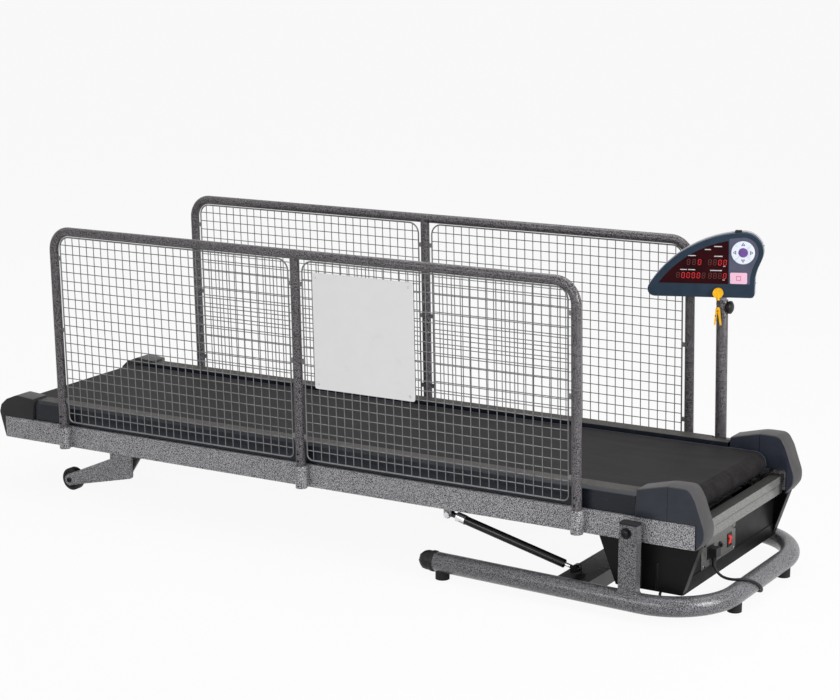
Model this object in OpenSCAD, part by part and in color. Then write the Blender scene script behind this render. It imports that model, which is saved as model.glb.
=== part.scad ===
// Dog treadmill: a motorised running deck with mesh side panels, pivoted on a low tube base.
// It stands on the floor at z = 0. +X is the way the animal faces and +Y is the console side.
// The deck is drawn in its own frame: the origin is on the pivot axis and X runs along the rails.
// The base is drawn in a level frame with its origin on the floor, straight below the pivot.

/* [Deck frame] */
// Height of the deck's pivot axis above the floor
pivot_h = 213; // [205:1:235]
// Pitch of the deck in degrees, front end up
deck_pitch = 1.25; // [0.6:0.05:1.8]
// Width over the two side rails
deck_w = 592; // [570:2:640]
// Length of a side rail behind the rearmost panel post
rail_tail = 235; // [225:5:330]
// Length of a side rail ahead of the pivot
rail_front = 158; // [150:1:170]
// Height of a side rail
rail_h = 60; // [56:1:64]
// Width of a side rail
rail_w = 30; // [28:1:34]
// Wall of the square steel tubes
box_wall = 2.5; // [1.5:0.1:3]

/* [Belt and rollers] */
// Distance from the belt's edge to the rail beside it
belt_side = 41; // [38:1:56]
// Thickness of the running belt
belt_t = 2.5; // [1.5:0.1:3.5]
// Diameter of the rollers
roller_d = 55; // [50:1:58]
// Height of the roller axes above the pivot axis
roller_z = 45; // [44:0.5:50]
// Distance of the front roller ahead of the pivot
front_roller_x = 82; // [78:1:86]
// Distance of the rear roller from the rail's rear end
rear_roller_inset = 38; // [36:1:50]
// Diameter of the roller axles
axle_d = 17; // [14:0.5:20]
// Thickness of the running board under the belt
board_t = 18; // [15:0.5:20]

/* [Foot rails and covers] */
// Setback of a foot rail's skirt from the rail's outer face
foot_inset = 8; // [5:0.5:12]
// Gap between the belt's edge and a foot rail
belt_margin = 8; // [5:0.5:12]
// Height of a foot rail above the belt
foot_rise = 9.5; // [7:0.5:14]
// Wall of the plastic covers
skin = 3; // [2:0.1:3.5]
// Width of a front cover and of a rear cap
cover_w = 58; // [54:0.5:59]
// Height of a front cover above the pivot axis
cover_top = 118; // [110:1:130]
// Length of a rear cap along the rail
cap_len = 107; // [95:1:130]
// Height of a rear cap above the pivot axis
cap_top = 96; // [92:1:110]

/* [Motor bay] */
// Depth of the motor pan below the rails
pan_depth = 123; // [120:1:124]
// Distance from a rail's outer face in to the motor pan's side
pan_inset = 19; // [18:1:24]
// Distance of the front crossmember's face ahead of the pivot
front_face_x = 140; // [138:1:148]
// Width of the control plate
plate_w = 197; // [180:1:215]
// Diameter of the drive motor
motor_d = 90; // [80:1:94]
// Diameter of the pulley on the front roller
roller_pulley_d = 72; // [64:1:74]
// Diameter of the pulley on the motor shaft
motor_pulley_d = 36; // [30:1:40]

/* [Base] */
// Diameter of the base tube
base_tube_d = 50; // [45:1:55]
// Wall of the base tube
base_wall = 2.5; // [1.5:0.1:3]
// Height of the base tube's centre above the floor
base_h = 42; // [38:1:46]
// Distance of the base's front tube ahead of the pivot
base_front = 200; // [190:1:220]
// Distance of the base legs' rear ends behind the pivot
base_back = 535; // [500:5:600]
// Bend radius of the base tube's front corners
base_bend = 170; // [140:2:180]
// Gap between a side rail and its upright
pivot_gap = 16; // [12:0.5:20]
// Thickness of an upright across the deck
upright_t = 25; // [22:0.5:30]
// Width of an upright along the deck
upright_w = 47; // [40:1:55]
// Diameter of the pivot bolts
pivot_bolt_d = 16; // [12:0.5:20]

/* [Gas strut] */
// Distance of the strut's upper eye behind the pivot
strut_back = 533; // [515:1:550]
// Drop of the strut's upper eye below the pivot axis
strut_drop = 50; // [46:1:56]
// Distance of the strut's lower eye behind the pivot
strut_foot_back = 172; // [165:1:180]
// Height of the strut's lower eye above the floor
strut_foot_h = 72; // [70:1:80]
// Diameter of the strut's cylinder
strut_d = 22; // [18:0.5:26]
// Diameter of the strut's rod
strut_rod_d = 10; // [8:0.5:12]

/* [Rear legs] */
// Distance of the leg pivot ahead of the rails' rear ends
leg_inset = 392; // [382:1:402]
// Distance of the wheel axle behind the leg pivot
wheel_reach = 196; // [186:1:206]
// Diameter of a rear wheel
wheel_d = 64; // [56:1:70]
// Width of a rear wheel
wheel_w = 24; // [18:0.5:28]
// Thickness of a leg plate
leg_t = 6; // [4:0.5:7]

/* [Side panels] */
// Distance of a panel's front post behind the pivot
post_back = 145; // [135:1:160]
// Distance between neighbouring posts of a panel
bay = 810; // [790:5:820]
// Diameter of the panel tube
panel_d = 25; // [22:0.5:28]
// Wall of the panel tube
panel_wall = 1.5; // [1:0.1:2]
// Height of the top tube's centre above the bottom of the sockets
panel_h = 617; // [560:1:700]
// Bend radius of a panel's top corners
panel_bend = 55; // [40:1:80]
// Pitch of the wire mesh
mesh_pitch = 25; // [20:0.5:40]
// Diameter of the mesh wires
wire_d = 2.5; // [2:0.1:3]
// Diameter of the mesh's border wire
border_d = 4; // [3:0.1:5]
// Distance of the border wire from the centre of the panel tube
border_inset = 22; // [19:0.5:28]
// Width and height of the sign plate
sign_size = 302; // [200:1:340]

/* [Console] */
// Length of the console
console_len = 292; // [270:1:310]
// Height of the console
console_h = 167; // [160:1:185]
// Thickness of the console
console_t = 46; // [42:1:50]
// Angle of the console, turned towards the front
console_turn = 19.5; // [0:0.5:30]
// Height of the console's underside above the pivot axis
console_z = 458; // [420:1:520]
// Diameter of the console's post
post_d = 30; // [28:0.5:30]
// Diameter of the console's stub in the post
stub_d = 22; // [18:0.5:23]
// Diameter of the round key pad
pad_d = 59; // [50:0.5:62]
// Diameter of the safety key
key_d = 26.6; // [20:0.2:30]

/* [Power lead] */
// Diameter of the mains lead
lead_d = 7; // [6:0.1:7]
// Turns in each of the coil's two layers
coil_turns = 2.29; // [2:0.01:3]

/* [Clearances] */
// Running clearance of a pin or shaft in its bore, on the radius
fit = 0.05; // [0.02:0.01:0.08]
// Clearance between pieces that move past each other
gap = 0.3; // [0.2:0.05:0.5]

/* [Hidden] */
$fn = 48;

// Finishes
hammertone = [0.40, 0.40, 0.42];
gloss_black = [0.10, 0.11, 0.14];
soft_black = [0.07, 0.07, 0.08];
plain_steel = [0.62, 0.63, 0.65];
rubber_black = [0.05, 0.05, 0.05];
slate_blue = [0.17, 0.24, 0.31];
pale_grey = [0.78, 0.78, 0.80];
key_yellow = [0.98, 0.78, 0.05];

// Rails
half_deck = deck_w / 2;
rail_in = half_deck - rail_w;
rail_mid = half_deck - rail_w / 2;
rail_top = rail_h / 2;
rail_bottom = -rail_h / 2;
rail_back = post_back + 2 * bay + rail_tail;
rail_end = -rail_back;
post_x = -40;

// Belt and rollers
belt_w = 2 * (rail_in - belt_side);
rear_roller_x = rail_end + rear_roller_inset;
belt_in_r = roller_d / 2 + gap;
belt_out_r = belt_in_r + belt_t;
belt_top = roller_z + belt_out_r;
belt_bottom = roller_z - belt_out_r;
board_top = roller_z + belt_in_r - gap;
board_bottom = board_top - board_t;
board_end_gap = 12;
wing_rear = rail_end + cap_len + 1;
wing_front = post_x - post_d / 2 - 5;
cushion_count = 7;
cushion_margin = 40;
cushion_d = 16;
cushion_y = rail_in + 9.5;
board_front = front_roller_x - roller_d / 2 - board_end_gap;
board_rear = rear_roller_x + roller_d / 2 + board_end_gap;

// Foot rails
foot_out = half_deck - foot_inset;
foot_in = belt_w / 2 + belt_margin;
foot_top = belt_top + foot_rise;
foot_bevel_y = 10;
foot_bevel_z = 6.5;
foot_wall = 3;
board_half = foot_out - foot_wall - 1;

// Front covers: the outline's named places, in the deck frame
cover_in = half_deck - cover_w;
cover_back = 1;
cover_shoulder_x = front_roller_x + 4;
cover_brow_x = 142;
cover_nose_x = rail_front + 24;
cover_seam_w = 1.2;
cover_corner_r = 14;
seat_gap = 0.5;

// Roller brackets inside the covers
bracket_t = 6;
bracket_half = 22;
bracket_in = rail_in - bracket_t;
axle_end = rail_in - 0.5;
axle_hole_d = axle_d + 7;

// Drive line on the console side, between the cover's inner wall and the roller bracket
pulley_y0 = cover_in + skin + 3;
pulley_w = min(14, bracket_in - 2 - pulley_y0);
pulley_y1 = pulley_y0 + pulley_w;
motor_x = -10;
motor_z = rail_bottom - pan_depth / 2 + 1.5;
motor_y1 = pulley_y0 - 39;
motor_len = 205;
shaft_d = 17;
shaft_grip = 50;
flywheel_d = 84;
flywheel_w = 20;
drive_belt_t = 3;
mount_t = 4;
mount_lap = 6;
mount_half = 50;
mount_strap = 44;
mount_slot = 2;
hanger_half = 47;
hanger_t = 6;
hanger_drop = 8;
controller_inset = 30;

// Motor pan and front crossmember
pan_bottom = rail_bottom - pan_depth;
pan_half = half_deck - pan_inset;
pan_side = 4;
pan_back_top = -105;
pan_back_bottom = -58;
pan_front_top = rail_front + 4;
pan_flange = 22;
plate_t = 2;
plate_x = front_face_x - 20;
wall_x = plate_x - plate_t;
cross_top = 11;
cross_step = -10;
cross_bottom = rail_bottom - 7;
cross_sheet = 3;
cross_proud = 3;
cross_shelf = 28;
plate_y1 = 22;
plate_y0 = plate_y1 - plate_w;
plate_z0 = pan_bottom + 33;
plate_z1 = rail_bottom - 1;
plate_screw_inset = 11;
window_margin = 10;
lip_top = plate_z0 - 0.5;

// Fittings on the control plate: width across the deck, height, and place
inlet_y = -125;
inlet_z = rail_bottom - 56;
inlet_w = 28;
inlet_hole_h = 22;
inlet_depth = 24;
inlet_wall = 3;
flange_edge = 5;
switch_y = -15;
switch_z = rail_bottom - 57;
rocker_w = 14;
rocker_r = 13;
rocker_sink = 6;
breaker_y = -70;
breaker_z = rail_bottom - 55;
breaker_d = 10;
breaker_collar_d = 18;
breaker_proud = 8;

// Base
base_r = base_tube_d / 2;
up_in = half_deck + pivot_gap;
up_out = up_in + upright_t;
base_y = up_in + upright_t / 2;
bend_x = base_front - base_bend;
up_top = pivot_h + 20;
up_x0 = -upright_w / 2 + 4.5;
foot_d = 36;
rear_foot_back = base_back - 20;
front_foot_y = 148;
end_cap_len = 45;
end_cap_lap = 30;
plug_h = 6;
bar_x0 = -strut_foot_back - 33;
bar_x1 = -strut_foot_back + 52;
bar_top = strut_foot_h - 16;
bar_h = 40;
bolt_head_d = 19;
bolt_head_h = 8;
nut_d = 26;
nut_h = 8;
spacer_d = 30;

// The part's box is centred on the origin along X, from the rear caps' tips to the base's front tube
cap_tip = 21;
cap_tip_z = 42;
rear_reach = (rail_end - cap_tip) * cos(deck_pitch) - cap_tip_z * sin(deck_pitch);
front_reach = base_front + base_r;
pivot_x = -(rear_reach + front_reach) / 2;

// Gas strut, in the deck frame
eye_d = 20;
eye_w = 16;
pin_d = 10;
lug_t = 6;
strut_y = -(rail_in - 4);
strut_x = -strut_back;
strut_z = -strut_drop;
foot_rise_z = strut_foot_h - pivot_h;
strut_foot_x = -strut_foot_back * cos(deck_pitch) + foot_rise_z * sin(deck_pitch);
strut_foot_z = strut_foot_back * sin(deck_pitch) + foot_rise_z * cos(deck_pitch);
strut_len = norm([strut_foot_x - strut_x, strut_foot_z - strut_z]);
strut_angle = atan2(strut_z - strut_foot_z, strut_foot_x - strut_x);
strut_body_end = strut_len - 32;
collar_len = 26;

// Rear legs, in the deck frame
leg_x = rail_end + leg_inset;
leg_z = rail_bottom + 22;
wheel_x = leg_x - wheel_reach;
wheel_z = (wheel_d / 2 - pivot_h - wheel_x * sin(deck_pitch)) / cos(deck_pitch);
leg_gap = 5;
leg_out = rail_in - leg_gap;
wheel_side = 1.5;
leg_in = leg_out - 2 * leg_t - wheel_w - 2 * wheel_side;
wheel_y0 = leg_in + leg_t;
wheel_y1 = leg_out - leg_t;
leg_pin_d = 12;
leg_pin_head = 5;
wheel_pin_d = 10;
leg_tube_d = 38;
leg_tube_x = leg_x + 22;
leg_tube_z = leg_z - 37;
lift_x = leg_tube_x + 3;
lift_z = leg_tube_z - 38;
lift_eye_half = 8;
lift_lug_t = 5;
lift_tube_d = 24;
lift_sleeve_d = 34;
lift_box_reach = 200;
lift_box_x = leg_x + lift_box_reach;
lift_box_len = 100;
lift_sleeve_len = 80;
lift_half = 30;
lift_motor_d = 56;
lift_cross_reach = 350;
lift_cross_x = leg_x + lift_cross_reach;
lift_slot_w = 11.4;
lift_slot_low = 12;
lift_slot_high = 7;
lift_slot_wall = 4;
lift_neck = 19;
cross_w = 50;
cross_h = 30;
cross_lid = belt_bottom - 8;
rear_cross_inset = 95;
cross_pitch = bay * 5 / 9;

// Side panels, in the deck frame
panel_r = panel_d / 2;
socket_d = panel_d + 2 * fit + 6;
socket_weld = 0.2;
panel_y = half_deck + socket_d / 2 + socket_weld;
posts = [for (i = [0:2]) -post_back - i * bay];
panel_top = rail_bottom + panel_h;
post_foot = rail_bottom + 2;
border_low = rail_top + 18.5;
border_high = panel_top - 16;
border_corner = 30;
border_foot = 15;
mesh_gap = 0.05;
wire_layer = (wire_d + mesh_gap) / 2;
tab_w = 3;
tab_h = 12;
sign_t = 3;
sign_x = posts[1] + 208;
sign_z = rail_bottom + 424.5;
sign_corner_r = 6;

// Console, in its own frame: the origin is on the post's axis at the console's underside
post_y = rail_mid;
post_top = console_z - 12;
stub_reach = 60;
stub_lift = 40;
nose_r = 49.5;
nose_x = 54;
nose_z = console_h - nose_r;
tail_r = 18;
tail_x = nose_x + nose_r - console_len + tail_r;
fin_r = 297;
toe_r = 8;
toe_x = nose_x + 28;
face_y = -30;
seam_y = face_y + 18;
back_y = face_y + console_t;
face_t = 4;
shell_t = 3;
overlay_t = 1.6;
overlay_slack = 0.15;
overlay_low = 35;
display_x1 = 16;
keypad_x0 = 18.5;
display_inset = 17;
keypad_inset = 12;
pad_x = 53;
pad_z = console_h - 50.5;
select_d = 23.6;
key_rise = 1.2;
key_t = 2;
stop_size = [43, 29];
stop_at = [42.5, 50.5];
stop_corner_r = 4;
safety_x = -8.5;
safety_z = 12;
safety_t = 8.5;
safety_peg_d = 8;
safety_peg_len = 6;
eyelet_d = 9;
eyelet_len = 5;
lanyard_d = 5;
lanyard_len = 18;
lanyard_y = face_y - 5;
lanyard_top = safety_z - key_d / 2 - eyelet_len;
clip_z = lanyard_top - lanyard_len;
clip_len = 46;
clip_t = 8;
clip_pin_drop = 9;
clip_knuckle_r = 4.5;
clip_pin_d = 3;
knob_d = 32;
knob_len = 14;
stud_d = 8;
knob_z = post_top - 18;

// Mains lead: hand-laid points in the base's frame. It drops from the connector, winds over the front tube and
// under it, and lies on the floor behind the tube as far as its coil below the motor pan
lead_exit = [132, -125, 108];
lead_points = [lead_exit, [133, -125, 98], [136, -124, 88], [142, -122, 79], [151, -121, 72],
    [163, -121, 68.5], [176, -122, 68.3], [188, -121.5, 69.4], [200, -117, 71], [212.3, -105, 68.3],
    [222.2, -89, 60.6], [228, -72.5, 49.5], [228.6, -57, 37], [223.8, -42, 25.4], [214.5, -29, 16.9],
    [200, -18.5, 13], [189, -14.5, 11.8], [178, -13, 9.4], [167, -14, 6.6], [156, -17.5, 4.5],
    [147, -25, 3.6], [141, -37, 3.5], [138.5, -53, 3.5], [138, -73, 3.5], [138, -96, 3.5],
    [136, -118, 3.5], [130, -140, 3.5], [119, -160, 3.5], [103, -176, 3.5], [83, -186, 3.5],
    [60, -189, 3.5], [38, -184, 3.5], [19, -172, 3.5], [5, -154, 3.5], [-4, -132, 3.5],
    [-9, -106, 3.5], [-12, -76, 3.5], [-15, -44, 3.5], [-18.5, -9, 3.5], [-22.5, 27, 3.5]];
lead_stub = 0.6;
coil_start = lead_points[len(lead_points) - 1];
coil_heading = atan2(36, -4);
coil_pitch = lead_d + 2;
coil_layer = lead_d + 0.6;
coil_out_r = 50;
coil_steps = 24;
coil_tail = 36;
coil_start_angle = coil_heading - 90;
coil_centre = [coil_start[0] - coil_out_r * cos(coil_start_angle),
               coil_start[1] - coil_out_r * sin(coil_start_angle)];
coil_low = coil_start[2];
lead_sides = 8;
coil_sides = 6;
lead_steps = 2;
plug_size = [46, 28, 24];
blade_len = 17;
blade_gap = 12.7;
plug_neck = 24;

// Frames and sides

module in_base() {
    translate([pivot_x, 0, 0]) children();
}

module in_deck() {
    translate([pivot_x, 0, pivot_h]) rotate([0, -deck_pitch, 0]) children();
}

module in_console() {
    in_deck() translate([post_x, post_y, console_z]) rotate([0, 0, console_turn]) children();
}

module in_strut() {
    in_deck() translate([strut_x, strut_y, strut_z]) rotate([0, strut_angle, 0]) children();
}

module both_sides() {
    children();
    mirror([0, 1, 0]) children();
}

// Solid shapes along the three axes

module rod_x(x0, x1, y, z, d) {
    translate([x0, y, z]) rotate([0, 90, 0]) cylinder(d = d, h = x1 - x0);
}

module rod_y(x, z, y0, y1, d) {
    translate([x, y1, z]) rotate([90, 0, 0]) cylinder(d = d, h = y1 - y0);
}

module rod_z(x, y, z0, z1, d) {
    translate([x, y, z0]) cylinder(d = d, h = z1 - z0);
}

module box(low, high) {
    translate(low) cube(high - low);
}

// Profile drawn in X and Z, extruded across the deck from y0 to y1
module across(y0, y1) {
    translate([0, y1, 0]) rotate([90, 0, 0]) linear_extrude(y1 - y0) children();
}

// Profile drawn in Y and Z, extruded along the deck from x0 to x1
module along(x0, x1) {
    translate([x0, 0, 0]) rotate([90, 0, 90]) linear_extrude(x1 - x0) children();
}

// Quarter bend of a round tube in the XZ plane, from start to start + 90 degrees
module bend_xz(x, y, z, bend, r, start) {
    translate([x, y, z]) rotate([90, 0, 0]) rotate([0, 0, start])
        rotate_extrude(angle = 90) translate([bend, 0]) circle(r);
}

// Outlines

function unit(v) = v / norm(v);
function left_of(v) = [-v[1], v[0]];
function arc(c, r, a0, a1, n) = [for (i = [0:n]) let (a = a0 + (a1 - a0) * i / n) c + r * [cos(a), sin(a)]];

// Anticlockwise outline drawn in by d on every side
function inset(p, d) = [for (i = [0:len(p) - 1])
    let (before = p[(i + len(p) - 1) % len(p)], after = p[(i + 1) % len(p)])
    let (n1 = left_of(unit(p[i] - before)), n2 = left_of(unit(after - p[i])))
    p[i] + d * (n1 + n2) / (1 + n1 * n2)];

// Outline with each corner cut round by radius r[i], in four steps
function rounded(p, r) = [for (i = [0:len(p) - 1])
    let (a = unit(p[(i + len(p) - 1) % len(p)] - p[i]), b = unit(p[(i + 1) % len(p)] - p[i]))
    let (half = acos(a * b) / 2, reach = r[i] / tan(half))
    for (t = r[i] > 0 ? [0:0.25:1] : [0])
        let (u = 1 - t)
        p[i] + reach * (a * u * u + b * t * t)];

// Point where two circles meet, on the left of the way from p to q
function meet(p, rp, q, rq) = let (d = norm(q - p), a = (rp * rp - rq * rq + d * d) / (2 * d))
    p + a * (q - p) / d + sqrt(rp * rp - a * a) * left_of(unit(q - p));

// Round tubes swept along points

function tangent(p, i) = unit(p[min(i + 1, len(p) - 1)] - p[max(i - 1, 0)]);
function across_of(n, t) = unit(n - (n * t) * t);
function side_vectors(p, i = 0, n = [0.1, 1, 0.2]) = i == len(p) ? [] :
    let (m = across_of(n, tangent(p, i))) concat([m], side_vectors(p, i + 1, m));
function spline(a, b, c, d, t) = 0.5 * (2 * b + (c - a) * t + (2 * a - 5 * b + 4 * c - d) * t * t
    + (3 * b - a - 3 * c + d) * t * t * t);
function smooth(p, steps) = [for (i = [0:len(p) - 2]) for (s = [0:steps - 1])
    spline(p[max(i - 1, 0)], p[i], p[i + 1], p[min(i + 2, len(p) - 1)], s / steps), p[len(p) - 1]];

module sweep(p, d, sides) {
    n = side_vectors(p);
    rings = len(p);
    points = [for (i = [0:rings - 1]) let (t = tangent(p, i), m = cross(t, n[i]))
        for (k = [0:sides - 1]) p[i] + d / 2 * (cos(360 * k / sides) * n[i] + sin(360 * k / sides) * m)];
    walls = [for (i = [0:rings - 2]) for (k = [0:sides - 1])
        let (a = i * sides + k, b = i * sides + (k + 1) % sides)
        each [[a, b + sides, b], [a, a + sides, b + sides]]];
    caps = [for (k = [1:sides - 2]) each [[0, k, k + 1],
        [(rings - 1) * sides, (rings - 1) * sides + k + 1, (rings - 1) * sides + k]]];
    polyhedron(points, concat(walls, caps));
}

// Base

module base_path(r, over) {
    both_sides() {
        rod_x(-base_back - over, bend_x, base_y, base_h, 2 * r);
        translate([bend_x, base_y - base_bend, base_h])
            rotate_extrude(angle = 90) translate([base_bend, 0]) circle(r);
    }
    rod_y(base_front, base_h, base_bend - base_y, base_y - base_bend, 2 * r);
}

module base_tube() color(hammertone) in_base() difference() {
    base_path(base_r, 0);
    base_path(base_r - base_wall, 1);
}

module base_plugs() color(soft_black) in_base() both_sides() {
    rod_x(-base_back, -base_back + end_cap_lap, base_y, base_h, 2 * (base_r - base_wall - fit));
    rod_x(-base_back - end_cap_len + base_r, -base_back, base_y, base_h, base_tube_d);
    translate([-base_back - end_cap_len + base_r, base_y, base_h]) sphere(base_r);
    box([up_x0, up_in, up_top], [up_x0 + upright_w, up_out, up_top + plug_h]);
}

module base_feet() color(rubber_black) in_base() both_sides() {
    difference() {
        rod_z(-rear_foot_back, base_y, 0, base_h, foot_d);
        rod_x(-rear_foot_back - foot_d, -rear_foot_back + foot_d, base_y, base_h, base_tube_d);
    }
    difference() {
        rod_z(base_front, front_foot_y, 0, base_h, foot_d);
        rod_y(base_front, base_h, front_foot_y - foot_d, front_foot_y + foot_d, base_tube_d);
    }
}

module uprights() color(hammertone) in_base() both_sides() difference() {
    box([up_x0, up_in, base_h], [up_x0 + upright_w, up_out, up_top]);
    box([up_x0 + box_wall, up_in + box_wall, base_h - 1],
        [up_x0 + upright_w - box_wall, up_out - box_wall, up_top + 1]);
    rod_x(up_x0 - 1, up_x0 + upright_w + 1, base_y, base_h, base_tube_d);
    rod_y(0, pivot_h, up_in - 1, up_out + 1, pivot_bolt_d + 2 * fit);
}

module base_crossbar() color(soft_black) in_base() {
    difference() {
        box([bar_x0, -base_y, bar_top - bar_h], [bar_x1, base_y, bar_top]);
        box([bar_x0 + box_wall, -base_y - 1, bar_top - bar_h + box_wall],
            [bar_x1 - box_wall, base_y + 1, bar_top - box_wall]);
        both_sides() rod_x(bar_x0 - 1, bar_x1 + 1, base_y, base_h, base_tube_d);
    }
    across(strut_y + eye_w / 2 + gap, strut_y + eye_w / 2 + gap + lug_t) {
        translate([-strut_foot_back - eye_d, bar_top]) square([2 * eye_d, 4]);
        translate([-strut_foot_back - eye_d / 2, bar_top]) square([eye_d, strut_foot_h - bar_top]);
        translate([-strut_foot_back, strut_foot_h]) circle(eye_d / 2);
    }
}

module pivot_bolts() color(plain_steel) in_base() both_sides() {
    rod_y(0, pivot_h, up_out, up_out + bolt_head_h, bolt_head_d);
    rod_y(0, pivot_h, rail_in - nut_h - 1, up_out, pivot_bolt_d);
    difference() {
        translate([0, rail_in - gap, pivot_h]) rotate([90, 0, 0]) cylinder(d = nut_d, h = nut_h, $fn = 6);
        rod_y(0, pivot_h, rail_in - nut_h - 2, rail_in, pivot_bolt_d + 2 * fit);
    }
    difference() {
        rod_y(0, pivot_h, half_deck + gap, up_in, spacer_d);
        rod_y(0, pivot_h, half_deck, up_in + 1, pivot_bolt_d + 2 * fit);
    }
}

// Deck frame

module side_rails() color(hammertone) in_deck() both_sides() difference() {
    box([rail_end, rail_in, rail_bottom], [rail_front, half_deck, rail_top]);
    box([rail_end - 1, rail_in + box_wall, rail_bottom + box_wall],
        [rail_front + 1, half_deck - box_wall, rail_top - box_wall]);
    rod_y(0, 0, rail_in - 1, half_deck + 1, pivot_bolt_d + 2 * fit);
}

module cross_tube(x) {
    difference() {
        box([x - cross_w / 2, -rail_in, cross_lid - cross_h], [x + cross_w / 2, rail_in, cross_lid]);
        box([x - cross_w / 2 + box_wall, -rail_in - 1, cross_lid - cross_h + box_wall],
            [x + cross_w / 2 - box_wall, rail_in + 1, cross_lid - box_wall]);
    }
}

module deck_crossmembers() color(hammertone) in_deck() {
    for (x = [rail_end + rear_cross_inset, lift_cross_x, lift_cross_x + cross_pitch,
              lift_cross_x + 2 * cross_pitch])
        cross_tube(x);
    across(-rail_in, rail_in) polygon([
        [front_face_x - cross_shelf, cross_top - cross_sheet],
        [front_face_x - cross_sheet, cross_top - cross_sheet],
        [front_face_x - cross_sheet, cross_bottom + cross_sheet], [plate_x, cross_bottom + cross_sheet],
        [plate_x, cross_bottom], [front_face_x, cross_bottom], [front_face_x, cross_step],
        [front_face_x + cross_proud, cross_step], [front_face_x + cross_proud, cross_top],
        [front_face_x - cross_shelf, cross_top]]);
}

module panel_socket(x) {
    difference() {
        union() {
            rod_z(x, panel_y, rail_bottom, rail_top, socket_d);
            box([x - 6, half_deck, rail_bottom + 6], [x + 6, panel_y, rail_top - 6]);
        }
        rod_z(x, panel_y, rail_bottom - 1, rail_top + 1, panel_d + 2 * fit);
    }
}

module roller_bracket(x) {
    difference() {
        box([x - bracket_half, bracket_in, rail_bottom + 2],
            [x + bracket_half, rail_in, roller_z + axle_d + 8]);
        rod_y(x, roller_z, bracket_in - 1, rail_in + 1, axle_d + 2 * fit);
    }
}

module frame_brackets() color(hammertone) in_deck() {
    both_sides() {
        for (x = posts)
            panel_socket(x);
        roller_bracket(front_roller_x);
        roller_bracket(rear_roller_x);
        difference() {
            box([rear_roller_x - bracket_half - 4, tension_y - 8, roller_z - 9],
                [rear_roller_x - bracket_half, rail_in, roller_z + 9]);
            rod_x(rear_roller_x - bracket_half - 5, rear_roller_x, tension_y, roller_z, tension_d + 2 * fit);
        }
    }
    difference() {
        across(strut_y - eye_w / 2 - gap - lug_t, strut_y - eye_w / 2 - gap) {
            translate([strut_x - eye_d / 2, strut_z]) square([eye_d, rail_bottom - strut_z]);
            translate([strut_x, strut_z]) circle(eye_d / 2);
        }
        rod_y(strut_x, strut_z, -half_deck, 0, pin_d + 2 * fit);
    }
}

// Rubber cushions between the rails and the board, clear of the foot rails' skirts
module deck_cushions() color(rubber_black) in_deck() both_sides()
    for (i = [0:cushion_count - 1]) {
        step = (wing_front - wing_rear - 2 * cushion_margin) / (cushion_count - 1);
        rod_z(wing_rear + cushion_margin + i * step, cushion_y, rail_top, board_bottom, cushion_d);
    }

// The board is narrow between the end covers, and has wings on the rails between them
module running_board() color([0.55, 0.42, 0.28]) in_deck() {
    core = cover_in - 1;
    box([board_rear, -core, board_bottom], [board_front, core, board_top]);
    both_sides() box([wing_rear, core - 1, board_bottom], [wing_front, board_half, board_top]);
}

module belt_loop(r) {
    translate([front_roller_x, roller_z]) circle(r, $fn = 96);
    translate([rear_roller_x, roller_z]) circle(r, $fn = 96);
    translate([rear_roller_x, roller_z - r]) square([front_roller_x - rear_roller_x, 2 * r]);
}

module running_belt() color(rubber_black) in_deck() across(-belt_w / 2, belt_w / 2) difference() {
    belt_loop(belt_out_r);
    belt_loop(belt_in_r);
}

module foot_rail(x1) {
    bevel_top = foot_top - foot_bevel_z;
    along(rail_end + cap_len + seat_gap, x1) polygon([
        [foot_out, rail_top], [foot_out, bevel_top], [foot_out - foot_bevel_y, foot_top], [foot_in, foot_top],
        [foot_in, board_top], [foot_in + foot_wall, board_top], [foot_in + foot_wall, foot_top - foot_wall],
        [foot_out - foot_bevel_y - 1, foot_top - foot_wall], [foot_out - foot_wall, bevel_top - 1.5],
        [foot_out - foot_wall, rail_top]]);
}

module foot_rails() color(gloss_black) in_deck() {
    post_room = post_d / 2 + 2;
    difference() {
        foot_rail(cover_back - seat_gap);
        box([post_x - post_room, post_y - post_room, rail_top - 1],
            [post_x + post_room, foot_out + 1, foot_top + 1]);
    }
    mirror([0, 1, 0]) foot_rail(cover_back - seat_gap);
}

// Covers

cover_outline = rounded([
    [cover_back, rail_top + gap], [rail_front + gap, rail_top + gap], [rail_front + gap, rail_bottom],
    [rail_front + 3, rail_bottom], [cover_nose_x - 1.5, -5.5], [cover_nose_x, 21],
    [cover_nose_x - 23, cover_top - 29.5], [cover_brow_x, cover_top], [cover_shoulder_x, cover_top],
    [cover_back + 5, cover_top - 19.5]], [0, 0, 0, 0, cover_corner_r, cover_corner_r, 30, 10, 40, 4]);

// Hollow inside a cover: it leaves the thin toe below the nose solid
cover_room = rounded([
    [cover_back, rail_top + gap], [rail_front + gap, rail_top + gap], [rail_front + gap, -8],
    [cover_nose_x - 1.5, -5.5], [cover_nose_x, 21], [cover_nose_x - 23, cover_top - 29.5],
    [cover_brow_x, cover_top], [cover_shoulder_x, cover_top], [cover_back + 5, cover_top - 19.5]],
    [0, 0, 0, 0, cover_corner_r, 30, 10, 40, 4]);

module front_cover() {
    difference() {
        across(cover_in, half_deck) polygon(cover_outline);
        across(cover_in + skin, half_deck - skin) polygon(inset(cover_room, skin));
        box([cover_back + skin, cover_in + skin, rail_top - 1],
            [rail_front - skin, rail_in, rail_top + skin + 1]);
        rod_y(front_roller_x, roller_z, cover_in - 1, cover_in + skin + 1, axle_hole_d);
        box([cover_shoulder_x, half_deck - 1, 0],
            [cover_shoulder_x + cover_seam_w, half_deck + 1, cover_top + 1]);
    }
}

module front_covers() color(gloss_black) in_deck() both_sides() front_cover();

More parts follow.
